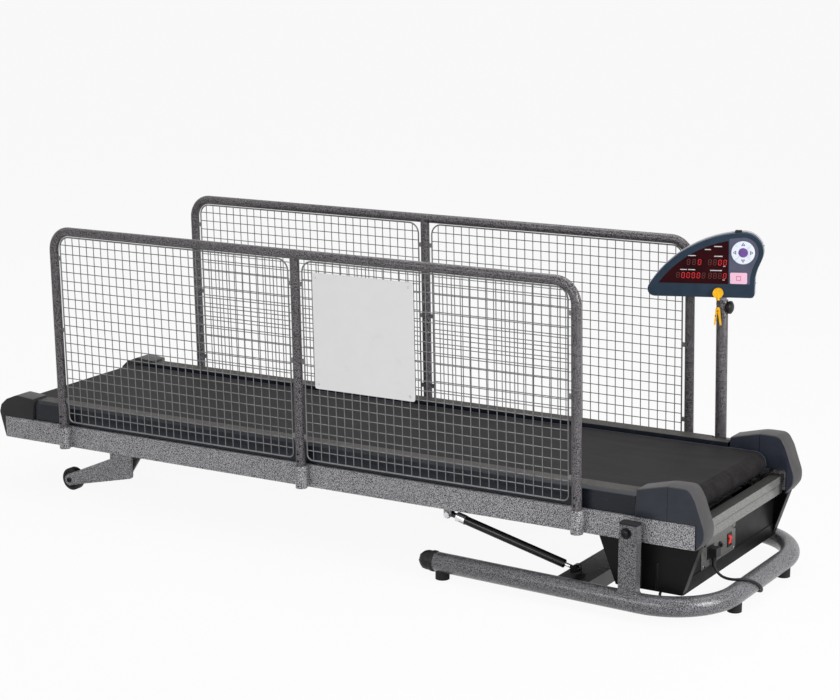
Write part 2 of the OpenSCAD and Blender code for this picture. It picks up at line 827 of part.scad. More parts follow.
cap_outline = rounded([
    [rail_end - gap, rail_top + gap], [rail_end + cap_len - 3, rail_top + gap],
    [rail_end + cap_len, cap_top - 4.5], [rail_end + 45, cap_top], [rail_end + 7, cap_top - 15],
    [rail_end - 14, cap_top - 33], [rail_end - cap_tip, cap_tip_z], [rail_end - 2, rail_bottom + 2],
    [rail_end - gap, rail_bottom + 2]], [0, 0, 3, 30, 20, 10, 0, 0, 0]);

// Hollow inside a rear cap: it leaves the thin skirt behind the rail's end solid
cap_room = rounded([
    [rail_end - cap_tip + 4, rail_top + gap], [rail_end + cap_len - 3, rail_top + gap],
    [rail_end + cap_len, cap_top - 4.5], [rail_end + 45, cap_top], [rail_end + 7, cap_top - 15],
    [rail_end - 14, cap_top - 33], [rail_end - cap_tip, cap_tip_z]], [0, 0, 6, 30, 20, 10, 0]);

tension_d = 8;
tension_y = rail_in - 13;

module rear_cap() {
    difference() {
        across(cover_in, half_deck) polygon(cap_outline);
        across(cover_in + skin, half_deck - skin) polygon(inset(cap_room, skin));
        box([rail_end + skin, cover_in + skin, rail_top - 1],
            [rail_end + cap_len - 2 * skin, rail_in, rail_top + skin + 1]);
        rod_y(rear_roller_x, roller_z, cover_in - 1, cover_in + skin + 1, axle_hole_d);
        rod_x(rail_end - cap_tip - 1, rail_end, tension_y, roller_z, tension_d + 8);
    }
}

module rear_caps() color(gloss_black) in_deck() both_sides() rear_cap();

// Motor bay

module motor_pan() color(soft_black) in_deck() difference() {
    union() {
        slope = skin * norm([pan_back_bottom - pan_back_top, pan_depth]) / pan_depth;
        across(-pan_half, pan_half) polygon([
            [pan_back_top, rail_bottom], [pan_back_bottom, pan_bottom], [wall_x, pan_bottom],
            [wall_x, plate_z1], [wall_x - skin, plate_z1], [wall_x - skin, pan_bottom + skin],
            [pan_back_bottom + slope, pan_bottom + skin], [pan_back_top + slope, rail_bottom]]);
        across(-pan_half + pan_side, pan_half - pan_side) translate([wall_x, pan_bottom])
            square([plate_t, lip_top - pan_bottom]);
        both_sides() {
            across(pan_half - pan_side, pan_half) polygon([
                [pan_back_top, rail_bottom], [pan_back_bottom, pan_bottom], [wall_x, pan_bottom],
                [pan_front_top, rail_bottom]]);
            across(pan_half - pan_flange, pan_half) polygon([
                [wall_x, pan_bottom], [pan_front_top, rail_bottom], [pan_front_top - skin, rail_bottom],
                [wall_x - skin, pan_bottom]]);
            for (x = [8, 52])
                rod_z(x, pan_half - 1, pan_bottom + 6, pan_bottom + 72, 8);
        }
    }
    box([wall_x - skin - 1, plate_y0 + window_margin, plate_z0 + window_margin],
        [wall_x + 1, plate_y1 - window_margin, plate_z1 - window_margin]);
}

module inlet_hole() {
    translate([inlet_y, inlet_z]) square([inlet_w, inlet_hole_h], center = true);
}

module control_plate() color(hammertone) in_deck() along(wall_x, plate_x) difference() {
    translate([plate_y0, plate_z0]) square([plate_w, plate_z1 - plate_z0]);
    inlet_hole();
    translate([switch_y, switch_z]) square([rocker_w + 6, 2 * rocker_r + 4], center = true);
    translate([breaker_y, breaker_z]) circle(d = breaker_d + 4);
}

module power_fittings() color(soft_black) in_deck() {
    difference() {
        union() {
            along(plate_x, plate_x + 2) translate([inlet_y, inlet_z])
                square([inlet_w + 2 * flange_edge, inlet_hole_h + 2 * flange_edge], center = true);
            along(plate_x - inlet_depth - inlet_wall, plate_x) translate([inlet_y, inlet_z])
                square([inlet_w - 0.2, inlet_hole_h - 0.2], center = true);
        }
        along(plate_x - inlet_depth, plate_x + 3) translate([inlet_y, inlet_z])
            square([inlet_w - 2 * inlet_wall, inlet_hole_h - 2 * inlet_wall], center = true);
    }
    difference() {
        union() {
            along(plate_x, plate_x + 2) translate([switch_y, switch_z])
                square([rocker_w + 10, 2 * rocker_r + 8], center = true);
            along(plate_x - 20, plate_x) translate([switch_y, switch_z])
                square([rocker_w + 5.8, 2 * rocker_r + 3.8], center = true);
        }
        along(plate_x - 18, plate_x + 3) translate([switch_y, switch_z])
            square([rocker_w + 2 * gap, 2 * (rocker_r + gap)], center = true);
        rod_y(plate_x - rocker_sink, switch_z, switch_y - rocker_w / 2 - 2, switch_y + rocker_w / 2 + 2, 4);
    }
    difference() {
        union() {
            rod_x(plate_x, plate_x + 3, breaker_y, breaker_z, breaker_collar_d);
            rod_x(plate_x - 18, plate_x, breaker_y, breaker_z, breaker_d + 3.8);
        }
        rod_x(plate_x - 16, plate_x + 4, breaker_y, breaker_z, breaker_d + 2 * fit);
    }
}

module power_switch() color([0.85, 0.12, 0.12]) in_deck() {
    axis_x = plate_x - rocker_sink;
    across(switch_y - rocker_w / 2, switch_y + rocker_w / 2) intersection() {
        translate([axis_x, switch_z]) circle(rocker_r);
        translate([axis_x, switch_z]) rotate(-9) polygon([[-4, -rocker_r], [rocker_r - 2, -rocker_r],
            [rocker_r - 3.6, 0], [rocker_r - 2, rocker_r], [-4, rocker_r]]);
    }
    rod_y(axis_x, switch_z, switch_y - rocker_w / 2 - 1.5, switch_y + rocker_w / 2 + 1.5, 4 - 2 * fit);
}

module breaker_button() color(soft_black) in_deck()
    rod_x(plate_x - 10, plate_x + breaker_proud, breaker_y, breaker_z, breaker_d);

module drive_motor() color(soft_black) in_deck() difference() {
    union() {
        rod_y(motor_x, motor_z, motor_y1 - motor_len, motor_y1, motor_d);
        rod_y(motor_x, motor_z, motor_y1 - motor_len - 12, motor_y1 - motor_len, 40);
    }
    rod_y(motor_x, motor_z, motor_y1 - shaft_grip, motor_y1 + 1, shaft_d + 2 * fit);
}

module motor_mount() color(plain_steel) in_deck() {
    lap = rail_in + mount_lap;
    difference() {
        box([motor_x - mount_half, -lap, rail_bottom - mount_t], [motor_x + mount_half, lap, rail_bottom]);
        box([motor_x - mount_half + mount_strap, pulley_y0 - mount_slot, rail_bottom - mount_t - 1],
            [motor_x + mount_half + 1, pulley_y1 + mount_slot, rail_bottom + 1]);
    }
    for (y = [motor_y1 - 40, motor_y1 - motor_len + 30])
        difference() {
            across(y, y + hanger_t) translate([motor_x - hanger_half, motor_z - motor_d / 2 - hanger_drop])
                square([2 * hanger_half, rail_bottom - mount_t - motor_z + motor_d / 2 + hanger_drop]);
            rod_y(motor_x, motor_z, y - 1, y + hanger_t + 1, motor_d + 2 * fit);
        }
}

module motor_controller() color([0.20, 0.35, 0.25]) in_deck() {
    floor_z = pan_bottom + skin;
    translate([0, -pan_half + controller_inset, floor_z]) {
        box([-30, 0, 0], [75, 120, 4]);
        for (y = [10, 28, 46, 64])
            box([-20, y, 4], [70, y + 6, 40]);
        box([-20, 74, 4], [60, 110, 22]);
    }
}

// Outline of a belt round both pulleys, clear of them by extra
function drive_loop(extra) = let (
        big = roller_pulley_d / 2 + extra,
        small = motor_pulley_d / 2 + extra,
        from = [front_roller_x, roller_z],
        to = [motor_x, motor_z],
        lean = asin((big - small) / norm(to - from)),
        heading = atan2(to[1] - from[1], to[0] - from[0]))
    concat(arc(from, big, heading + 90 - lean, heading + 270 + lean, 24),
           arc(to, small, heading - 90 + lean, heading + 90 - lean, 20));

module drive_belt() color(rubber_black) in_deck() across(pulley_y0 + 1, pulley_y1 - 1) difference() {
    polygon(drive_loop(gap + drive_belt_t));
    polygon(drive_loop(gap));
}

module motor_pulley() color(plain_steel) in_deck() {
    rod_y(motor_x, motor_z, motor_y1 - shaft_grip + 2, pulley_y1 + 3, shaft_d);
    rod_y(motor_x, motor_z, motor_y1 + 9, motor_y1 + 9 + flywheel_w, flywheel_d);
    rod_y(motor_x, motor_z, pulley_y0, pulley_y1, motor_pulley_d);
}

module roller(x) {
    rod_y(x, roller_z, -belt_w / 2 - 1, belt_w / 2 + 1, roller_d);
    rod_y(x, roller_z, -axle_end, axle_end, axle_d);
}

module front_roller() color(plain_steel) in_deck() {
    roller(front_roller_x);
    rod_y(front_roller_x, roller_z, pulley_y0, pulley_y1, roller_pulley_d);
}

module rear_roller() color(plain_steel) in_deck() roller(rear_roller_x);

module console_post() color(hammertone) in_deck() difference() {
    rod_z(post_x, post_y, rail_top, post_top, post_d);
    rod_z(post_x, post_y, rail_top - 1, post_top + 1, stub_d + 2 * fit);
    rod_x(post_x, post_x + post_d, post_y, knob_z, stud_d + 2 * fit);
}

module deck_bolts() color(plain_steel) in_deck() {
    both_sides() {
        tab_x = rear_roller_x - bracket_half - 4;
        rod_x(tab_x - 8, rear_roller_x - axle_d / 2 - 0.5, tension_y, roller_z, tension_d);
        rod_x(tab_x - 8, tab_x, tension_y, roller_z, tension_d + 5);
        rod_y(leg_x, leg_z, leg_out - leg_t - gap, rail_in, leg_pin_d);
        rod_y(leg_x, leg_z, leg_out - leg_t - gap - leg_pin_head, leg_out - leg_t - gap, leg_pin_d + 6);
    }
    lug_y = strut_y - eye_w / 2 - gap - lug_t;
    eye_end = strut_y + eye_w / 2 + gap;
    rod_y(strut_x, strut_z, lug_y, eye_end, pin_d);
    rod_y(strut_x, strut_z, lug_y - 5, lug_y, pin_d + 6);
    rod_y(strut_x, strut_z, eye_end, eye_end + 4, pin_d + 5);
    for (y = [plate_y0 + plate_screw_inset, plate_y1 - plate_screw_inset])
        for (z = [plate_z0 + 6, plate_z1 - 30])
            rod_x(plate_x, plate_x + 2.5, y, z, 7);
}

// Gas strut: its own X runs from the upper eye to the lower eye

module strut_cylinder() color(soft_black) in_strut() difference() {
    union() {
        rod_y(0, 0, -eye_w / 2, eye_w / 2, eye_d);
        rod_x(0, strut_d, 0, 0, pin_d + 4);
        rod_x(strut_d, strut_d + collar_len, 0, 0, strut_d + 3);
        rod_x(strut_d, strut_body_end, 0, 0, strut_d);
    }
    rod_y(0, 0, -eye_w, eye_w, pin_d + 2 * fit);
    rod_x(strut_d + collar_len, strut_body_end + 1, 0, 0, strut_rod_d + 2 * fit);
}

module strut_rod() color(plain_steel) in_strut() {
    rod_x(strut_d + collar_len + 6, strut_len, 0, 0, strut_rod_d);
    rod_y(strut_len, 0, -eye_w / 2, eye_w / 2, eye_d);
    rod_y(strut_len, 0, -eye_w / 2 - 7, -eye_w / 2, eye_d - 4);
}

// Rear legs

// Side of a leg plate, whose lower front corner is given and cut round
module leg_profile(toe, toe_round) {
    rim = [[leg_x + 37, leg_z], [leg_x - 40, leg_z], [leg_x - 40, leg_z - 51],
        [wheel_x - 3, wheel_z + 16.5], [wheel_x - 3, wheel_z - 16.2]];
    difference() {
        union() {
            polygon(rounded(concat(rim, toe), concat([for (p = rim) 0], [for (p = toe) toe_round])));
            translate([leg_x, leg_z]) circle(20);
            translate([wheel_x, wheel_z]) circle(16.5);
        }
        translate([leg_x, leg_z]) circle(d = leg_pin_d + 2 * fit);
        translate([wheel_x, wheel_z]) circle(d = wheel_pin_d + 2 * fit);
    }
}

module leg_frame() color(hammertone) in_deck() {
    both_sides() {
        across(leg_out - leg_t, leg_out) leg_profile([[leg_x + 37, leg_z - 97.5]], 12);
        difference() {
            across(leg_in, leg_in + leg_t)
                leg_profile([[leg_x, leg_z - 105], [leg_x + 37, leg_z - 52]], 4);
            rod_y(leg_x, leg_z, leg_in - 1, leg_in + leg_t + 1, leg_pin_d + 14);
        }
        rod_y(wheel_x, wheel_z, leg_in - 6, leg_out, wheel_pin_d);
        rod_y(wheel_x, wheel_z, leg_in - 6, leg_in, wheel_pin_d + 7);
    }
    difference() {
        rod_y(leg_tube_x, leg_tube_z, -leg_in, leg_in, leg_tube_d);
        rod_y(leg_tube_x, leg_tube_z, -leg_in - 1, leg_in + 1, leg_tube_d - 2 * box_wall);
    }
    difference() {
        both_sides() across(lift_eye_half + gap, lift_eye_half + gap + lift_lug_t) {
            translate([lift_x - 12, lift_z]) square([24, leg_tube_z - lift_z]);
            translate([lift_x, lift_z]) circle(12);
        }
        rod_y(leg_tube_x, leg_tube_z, -leg_in, leg_in, leg_tube_d);
    }
    rod_y(lift_x, lift_z, -lift_eye_half - gap - lift_lug_t, lift_eye_half + gap + lift_lug_t, pin_d);
}

module rear_wheel() {
    translate([wheel_x, (wheel_y0 + wheel_y1) / 2, wheel_z]) rotate([90, 0, 0]) rotate_extrude() {
        hub = (wheel_y1 - wheel_y0) / 2 - gap;
        rim = wheel_w / 2;
        bore = wheel_pin_d / 2 + fit;
        polygon([[bore, -hub], [11, -hub], [11, -rim + 4], [wheel_d / 2 - 9, -rim + 4], [wheel_d / 2 - 8, -rim],
            [wheel_d / 2 - 2, -rim], [wheel_d / 2, -rim + 2], [wheel_d / 2, rim - 2], [wheel_d / 2 - 2, rim],
            [wheel_d / 2 - 8, rim], [wheel_d / 2 - 9, rim - 4], [11, rim - 4], [11, hub], [bore, hub]]);
    }
}

module near_wheel() color(rubber_black) in_deck() mirror([0, 1, 0]) rear_wheel();

module far_wheel() color(rubber_black) in_deck() rear_wheel();

module lift_motor() color(soft_black) in_deck() difference() {
    union() {
        box([lift_box_x, -lift_half, lift_z - lift_half],
            [lift_box_x + lift_box_len, lift_half, lift_z + lift_half]);
        rod_x(lift_box_x + lift_box_len, lift_box_x + 2 * lift_box_len, 0, lift_z, lift_motor_d);
        rod_x(lift_box_x - lift_sleeve_len, lift_box_x, 0, lift_z, lift_sleeve_d);
        box([lift_cross_x - 20, -20, lift_z], [lift_cross_x + 20, 20, cross_lid - cross_h]);
    }
    rod_x(lift_box_x - lift_sleeve_len - 1, lift_box_x + 1, 0, lift_z, lift_tube_d + 2 * fit);
}

module lift_tube() color(plain_steel) in_deck() difference() {
    union() {
        rod_x(lift_x + lift_neck, lift_box_x - 1, 0, lift_z, lift_tube_d);
        box([lift_x - 11, -lift_eye_half, lift_z - lift_slot_low - lift_slot_wall],
            [lift_x + lift_neck + 3, lift_eye_half, lift_z + lift_slot_high + lift_slot_wall]);
    }
    box([lift_x - lift_slot_w / 2, -lift_tube_d, lift_z - lift_slot_low],
        [lift_x + lift_slot_w / 2, lift_tube_d, lift_z + lift_slot_high]);
}

// Side panels, drawn on the console side

module panel_path(r, over) {
    first = posts[2];
    last = posts[0];
    for (x = [first, last])
        rod_z(x, panel_y, post_foot - over, panel_top - panel_bend, 2 * r);
    rod_z(posts[1], panel_y, post_foot - over, panel_top, 2 * r);
    rod_x(first + panel_bend, last - panel_bend, panel_y, panel_top, 2 * r);
    bend_xz(last - panel_bend, panel_y, panel_top - panel_bend, panel_bend, r, 0);
    bend_xz(first + panel_bend, panel_y, panel_top - panel_bend, panel_bend, r, 90);
}

module panel_frame() {
    difference() {
        panel_path(panel_r, 0);
        panel_path(panel_r - panel_wall, 1);
    }
}

module border(x0, x1) {
    r = border_d / 2;
    rod_x(x0 + border_corner, x1 - border_corner, panel_y, border_high, border_d);
    rod_x(x0 + border_foot, x1 - border_foot, panel_y, border_low, border_d);
    for (x = [x0, x1])
        rod_z(x, panel_y, border_low + border_foot, border_high - border_corner, border_d);
    bend_xz(x1 - border_corner, panel_y, border_high - border_corner, border_corner, r, 0);
    bend_xz(x0 + border_corner, panel_y, border_high - border_corner, border_corner, r, 90);
    bend_xz(x0 + border_foot, panel_y, border_low + border_foot, border_foot, r, 180);
    bend_xz(x1 - border_foot, panel_y, border_low + border_foot, border_foot, r, 270);
}

// How far a corner of radius r lifts a wire's end that lies s from the border's side
function corner_lift(s, r) = s >= r ? 0 : r - sqrt(r * r - pow(r - s, 2));

module mesh_bay(x0, x1) {
    reach = border_d / 2 + mesh_gap;
    columns = floor((x1 - x0 - 30) / mesh_pitch);
    margin = (x1 - x0 - columns * mesh_pitch) / 2;
    rows = floor((border_high - border_low - 15) / mesh_pitch);
    border(x0, x1);
    for (i = [0:columns]) {
        s = margin + i * mesh_pitch;
        side = min(s, x1 - x0 - s);
        rod_z(x0 + s, panel_y + wire_layer, border_low + reach + corner_lift(side, border_foot),
            border_high - reach - corner_lift(side, border_corner), wire_d);
    }
    for (i = [1:rows]) {
        s = i * mesh_pitch;
        lift = reach + max(corner_lift(s, border_foot), corner_lift(border_high - border_low - s, border_corner));
        rod_x(x0 + lift, x1 - lift, panel_y - wire_layer, border_low + s, wire_d);
    }
}

// Tab between a post and the border wire beside it
module mesh_tab(post, wire, z) {
    difference() {
        box([min(post, wire), panel_y - tab_w / 2, z - tab_h / 2],
            [max(post, wire), panel_y + tab_w / 2, z + tab_h / 2]);
        rod_z(post, panel_y, z - tab_h, z + tab_h, panel_d + 2 * mesh_gap);
        rod_z(wire, panel_y, z - tab_h, z + tab_h, border_d + 2 * mesh_gap);
    }
}

module panel_mesh() {
    for (i = [0, 1]) {
        x0 = posts[i + 1] + border_inset;
        x1 = posts[i] - border_inset;
        mesh_bay(x0, x1);
        for (z = [border_low + 60, (border_low + border_high) / 2, border_high - 60]) {
            mesh_tab(posts[i + 1], x0, z);
            mesh_tab(posts[i], x1, z);
        }
    }
}

module near_panel_frame() color(hammertone) in_deck() mirror([0, 1, 0]) panel_frame();

module far_panel_frame() color(hammertone) in_deck() panel_frame();

module near_mesh() color(soft_black) in_deck() mirror([0, 1, 0]) panel_mesh();

module far_mesh() color(soft_black) in_deck() panel_mesh();

module sign_plate() color("white") in_deck() mirror([0, 1, 0]) {
    y = panel_y + wire_layer + wire_d / 2 + 0.2;
    half = sign_size / 2;
    across(y, y + sign_t) polygon(rounded([
        [sign_x - half, sign_z - half], [sign_x + half, sign_z - half],
        [sign_x + half, sign_z + half], [sign_x - half, sign_z + half]], [for (i = [0:3]) sign_corner_r]));
}

// Console: a long fin whose back arc touches the round nose and the round tail

fin_at = meet([nose_x, nose_z], fin_r - nose_r, [tail_x, tail_r], fin_r - tail_r);
fin_top_angle = atan2(nose_z - fin_at[1], nose_x - fin_at[0]);
fin_tail_angle = atan2(tail_r - fin_at[1], tail_x - fin_at[0]);
console_outline = concat(
    arc([tail_x, tail_r], tail_r, fin_tail_angle, 270, 6),
    arc([toe_x - toe_r, toe_r], toe_r, -90, 0, 4),
    [[toe_x + 1, nose_z - 66], [toe_x + 6, nose_z - 46]],
    arc([nose_x, nose_z], nose_r, -24, fin_top_angle, 12),
    [for (i = [1:11]) let (a = fin_top_angle + (fin_tail_angle - fin_top_angle) * i / 12)
        fin_at + fin_r * [cos(a), sin(a)]]);

module display_shape(grow) {
    intersection() {
        polygon(inset(console_outline, display_inset - grow));
        translate([-console_len, overlay_low - grow])
            square([console_len + display_x1 + grow, console_h]);
    }
}

module keypad_shape(grow) {
    intersection() {
        polygon(inset(console_outline, keypad_inset - grow));
        translate([keypad_x0 - grow, overlay_low - grow]) square([console_len, console_h]);
    }
}

module stop_shape(grow) {
    corner = stop_corner_r + grow;
    x0 = stop_at[0] - stop_size[0] / 2 - grow;
    z0 = stop_at[1] - stop_size[1] / 2 - grow;
    x1 = x0 + stop_size[0] + 2 * grow;
    z1 = z0 + stop_size[1] + 2 * grow;
    polygon(rounded([[x0, z0], [x1, z0], [x1, z1], [x0, z1]], [for (i = [0:3]) corner]));
}

module console_front() color(slate_blue) in_console() difference() {
    across(face_y, seam_y) polygon(console_outline);
    across(face_y + face_t, seam_y + 1) polygon(inset(console_outline, shell_t));
    across(face_y - 1, face_y + overlay_t) {
        display_shape(overlay_slack);
        keypad_shape(overlay_slack);
    }
    rod_y(safety_x, safety_z, face_y - 1, face_y + face_t + 1, safety_peg_d + 2 * fit);
}

back_step = back_y - 10;
back_inset = -1;
back_taper = 5;

module console_back() color(pale_grey) in_console() {
    difference() {
        union() {
            across(seam_y, back_step) polygon(inset(console_outline, back_inset));
            across(back_step, back_y) polygon(inset(console_outline, back_inset + back_taper));
        }
        across(seam_y - 1, back_step - shell_t) polygon(inset(console_outline, back_inset + shell_t));
    }
    rod_z(0, 0, -stub_reach, stub_lift, stub_d);
}

module display_window() color([0.16, 0.02, 0.03]) in_console()
    across(face_y, face_y + overlay_t) display_shape(0);

module keypad_panel() color([0.42, 0.44, 0.52]) in_console() across(face_y, face_y + overlay_t) difference() {
    keypad_shape(0);
    translate([pad_x, pad_z]) circle(d = pad_d + 2 * gap);
    stop_shape(gap);
}

key_y0 = face_y - key_rise;
key_y1 = key_y0 + key_t;

// Quarter of the round pad that faces the given angle
module pad_key(angle) {
    across(key_y0, key_y1) translate([pad_x, pad_z]) rotate(angle) intersection() {
        difference() {
            circle(d = pad_d);
            circle(d = select_d + 2 * gap);
        }
        polygon([[gap, 0], [pad_d, pad_d - gap], [pad_d, -pad_d + gap]]);
    }
}

module right_key() color("white") in_console() pad_key(0);

module up_key() color("white") in_console() pad_key(90);

module left_key() color("white") in_console() pad_key(180);

module down_key() color("white") in_console() pad_key(270);

module select_key() color([0.42, 0.30, 0.60]) in_console()
    across(key_y0, key_y1) translate([pad_x, pad_z]) circle(d = select_d);

module stop_key() color([0.98, 0.78, 0.88]) in_console()
    across(key_y0, key_y1) stop_shape(0);

module clamp_knob() color(soft_black) in_deck() {
    rod_x(post_x + stub_d / 2 + gap, post_x + post_d / 2 + 2, post_y, knob_z, stud_d);
    translate([post_x + post_d / 2 + gap, post_y, knob_z]) rotate([0, 90, 0]) rotate_extrude()
        polygon([[0, 0], [knob_d / 2 - 3, 0], [knob_d / 2, 3], [knob_d / 2, knob_len - 6],
            [knob_d / 2 - 4, knob_len - 1.5], [knob_d / 2 - 9, knob_len], [0, knob_len]]);
}

// Safety key with its short cord and clip

module safety_key() color(key_yellow) in_console() {
    rod_y(safety_x, safety_z, face_y - gap - safety_t, face_y - gap, key_d);
    rod_y(safety_x, safety_z, face_y - gap, face_y + safety_peg_len, safety_peg_d);
    rod_z(safety_x, lanyard_y, lanyard_top, safety_z, eyelet_d);
}

// The cord leaves both of its fittings straight and bows a little between them
lanyard_points = concat([[safety_x, lanyard_y, lanyard_top]],
    [for (i = [0:6]) [safety_x - 1.5 * sin(30 * i), lanyard_y, lanyard_top - (0.05 + 0.15 * i) * lanyard_len]],
    [[safety_x, lanyard_y, clip_z]]);

module lanyard() color(rubber_black) in_console() sweep(lanyard_points, lanyard_d, 8);

module clip_arm(side) {
    foot = 9.5;
    across(lanyard_y - clip_t / 2, lanyard_y + clip_t / 2) translate([safety_x, clip_z]) difference() {
        polygon([[side * gap, -3], [side * 5, -3], [side * foot, -clip_len], [side * (foot - 4), -clip_len],
            [side * gap, -clip_pin_drop - 2]]);
        translate([0, -clip_pin_drop]) circle(clip_knuckle_r + gap);
    }
}

module clip_knuckle(side, y0, y1, bore) {
    translate([safety_x, 0, clip_z - clip_pin_drop]) difference() {
        union() {
            rod_y(0, 0, y0, y1, 2 * clip_knuckle_r);
            box([min(0, side * 6), y0, -4], [max(0, side * 6), y1, 4]);
        }
        rod_y(0, 0, y0 - 1, y1 + 1, bore);
    }
}

module clip_body() color(key_yellow) in_console() {
    clip_arm(-1);
    clip_knuckle(-1, lanyard_y - clip_t / 2, lanyard_y - gap / 2, clip_pin_d - 1);
    rod_y(safety_x, clip_z - clip_pin_drop, lanyard_y - clip_t / 2, lanyard_y + clip_t / 2, clip_pin_d);
    rod_z(safety_x, lanyard_y, clip_z - 4, clip_z, lanyard_d + 2);
}

module clip_jaw() color(key_yellow) in_console() {
    difference() {
        clip_arm(1);
        rod_z(safety_x, lanyard_y, clip_z - 4.3, clip_z + 1, lanyard_d + 2 + 2 * gap);
    }
    clip_knuckle(1, lanyard_y + gap / 2, lanyard_y + clip_t / 2, clip_pin_d + 2 * fit);
}

// Mains lead

// Route of the lead, straight out of the connector at first
lead_route = concat([lead_exit], smooth(concat([lead_exit - [0, 0, lead_stub]],
    [for (i = [1:len(lead_points) - 1]) lead_points[i]]), lead_steps));

module cord_connector() color(soft_black) in_base() {
    level = inlet_z + pivot_h + plate_x * sin(deck_pitch);
    front = plate_x * cos(deck_pitch) - inlet_z * sin(deck_pitch) + 2;
    translate([front, inlet_y, level]) rotate([0, -deck_pitch, 0]) {
        box([-inlet_depth + 2, -inlet_w / 2 + inlet_wall + gap, -inlet_hole_h / 2 + inlet_wall + gap],
            [1, inlet_w / 2 - inlet_wall - gap, inlet_hole_h / 2 - inlet_wall - gap]);
        box([gap, -13, -10], [20, 13, 12]);
    }
    rod_z(lead_exit[0], lead_exit[1], lead_exit[2] + 8, level - 8, 14);
    rod_z(lead_exit[0], lead_exit[1], lead_exit[2], lead_exit[2] + 10, lead_d + 3);
}

module mains_lead() color(rubber_black) in_base() sweep(lead_route, lead_d, lead_sides);

// The coil spirals in on the floor, climbs a layer in half a turn and spirals out again
function coil_point(turn) = let (
        a = coil_start_angle + 360 * turn,
        climb = min(max((turn - coil_turns) / 0.5, 0), 1),
        back = max(turn - coil_turns - 0.5, 0),
        r = coil_out_r - coil_pitch * min(turn, coil_turns) + coil_pitch * back,
        z = coil_low + coil_layer * (1 - cos(180 * climb)) / 2)
    [coil_centre[0] + r * cos(a), coil_centre[1] + r * sin(a), z];
coil_all = 2 * coil_turns + 0.5;
coil_count = round(coil_all * coil_steps);
coil_path = [for (i = [0:coil_count]) coil_point(coil_all * i / coil_count)];
coil_exit = unit(coil_path[coil_count] - coil_path[coil_count - 1]);
coil_end = coil_path[coil_count] + coil_tail * coil_exit;
coil_points = concat([coil_start - 0.01 * [cos(coil_heading), sin(coil_heading), 0]],
    [for (i = [1:coil_count]) coil_path[i]], [coil_end]);

// Least clearance between turns, measured between points at least a third of a turn apart
coil_clearance = min([for (i = [0:2:coil_count]) for (j = [i + coil_steps / 3:1:coil_count])
    norm(coil_path[i] - coil_path[j])]) - lead_d;
echo(coil_clearance = coil_clearance);

module lead_coil() color(rubber_black) in_base() sweep(coil_points, lead_d, coil_sides);

module mains_plug() color(soft_black) in_base() {
    translate(coil_end) rotate([0, 0, atan2(coil_exit[1], coil_exit[0])]) {
        half = plug_size[1] / 2;
        top = plug_size[2] - coil_end[2];
        rod_x(0, plug_neck, 0, 0, lead_d + 4);
        box([plug_neck, -half, -coil_end[2]], [plug_neck + plug_size[0], half, top]);
        face = plug_neck + plug_size[0];
        for (y = [-blade_gap, blade_gap] / 2)
            box([face, y - 0.75, top - 18], [face + blade_len, y + 0.75, top - 11.7]);
        rod_x(face, face + blade_len + 3, 0, top - 5, 4.8);
    }
}

base_tube();
base_plugs();
base_feet();
uprights();
base_crossbar();
pivot_bolts();
side_rails();
deck_crossmembers();
frame_brackets();
deck_cushions();
running_board();
running_belt();
foot_rails();
front_covers();
rear_caps();
control_plate();
motor_pan();
power_fittings();
drive_motor();
motor_mount();
motor_controller();
drive_belt();
console_post();
deck_bolts();
lift_motor();
front_roller();
rear_roller();
motor_pulley();
strut_cylinder();
strut_rod();
leg_frame();
near_wheel();
far_wheel();
lift_tube();
near_panel_frame();
near_mesh();
sign_plate();
far_panel_frame();
far_mesh();
console_front();
console_back();
display_window();
keypad_panel();
up_key();
down_key();
left_key();
right_key();
select_key();
stop_key();
clamp_knob();
safety_key();
lanyard();
clip_body();
clip_jaw();
power_switch();
breaker_button();
cord_connector();
mains_lead();
lead_coil();
mains_plug();
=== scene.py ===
import math

import bmesh
import bpy
from mathutils import Matrix, Vector


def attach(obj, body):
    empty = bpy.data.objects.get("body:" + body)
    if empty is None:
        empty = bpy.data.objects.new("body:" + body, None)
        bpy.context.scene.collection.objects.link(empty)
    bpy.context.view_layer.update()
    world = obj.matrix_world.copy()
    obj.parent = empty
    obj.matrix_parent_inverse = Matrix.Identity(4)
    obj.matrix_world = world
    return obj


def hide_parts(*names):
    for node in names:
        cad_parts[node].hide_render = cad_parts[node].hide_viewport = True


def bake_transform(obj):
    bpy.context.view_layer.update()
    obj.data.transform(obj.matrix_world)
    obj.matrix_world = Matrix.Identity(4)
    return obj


# The treadmill's frame: every rigid piece as it was drawn, in metres, standing on the floor.
# The deck hangs on a pivot near its front end and is pitched a little, front end up.
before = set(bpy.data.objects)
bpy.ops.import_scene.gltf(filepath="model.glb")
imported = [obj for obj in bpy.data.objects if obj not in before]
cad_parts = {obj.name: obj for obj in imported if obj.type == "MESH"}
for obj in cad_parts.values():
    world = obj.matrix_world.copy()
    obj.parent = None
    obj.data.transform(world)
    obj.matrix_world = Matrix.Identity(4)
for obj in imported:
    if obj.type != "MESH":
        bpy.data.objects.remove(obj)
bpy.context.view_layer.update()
scene = bpy.context.scene
pivot = Vector((0.898218, 0, 0.213))
mm = Matrix.Scale(0.001, 4)
base_place = Matrix.Translation((pivot.x, 0, 0)) @ mm
deck_pitch = math.radians(-1.25)
deck_place = Matrix.Translation(pivot) @ Matrix.Rotation(deck_pitch, 4, "Y") @ mm

# Studio: a white floor that runs out of sight in a white room, a broad soft light overhead, a long strip
# light before the near side and a strong square light before the console end. The camera stands at the near
# front corner.
scene.view_settings.view_transform = "Standard"
lens = bpy.data.cameras.new("photo_camera")
lens.lens = 91.68
lens.sensor_width = 36
camera = bpy.data.objects.new("photo_camera", lens)
camera.location = (3.0488, -4.6539, 1.8109)
camera.rotation_euler = (math.radians(90 - 13.512), 0, math.radians(32.257))
scene.collection.objects.link(camera)
scene.camera = camera


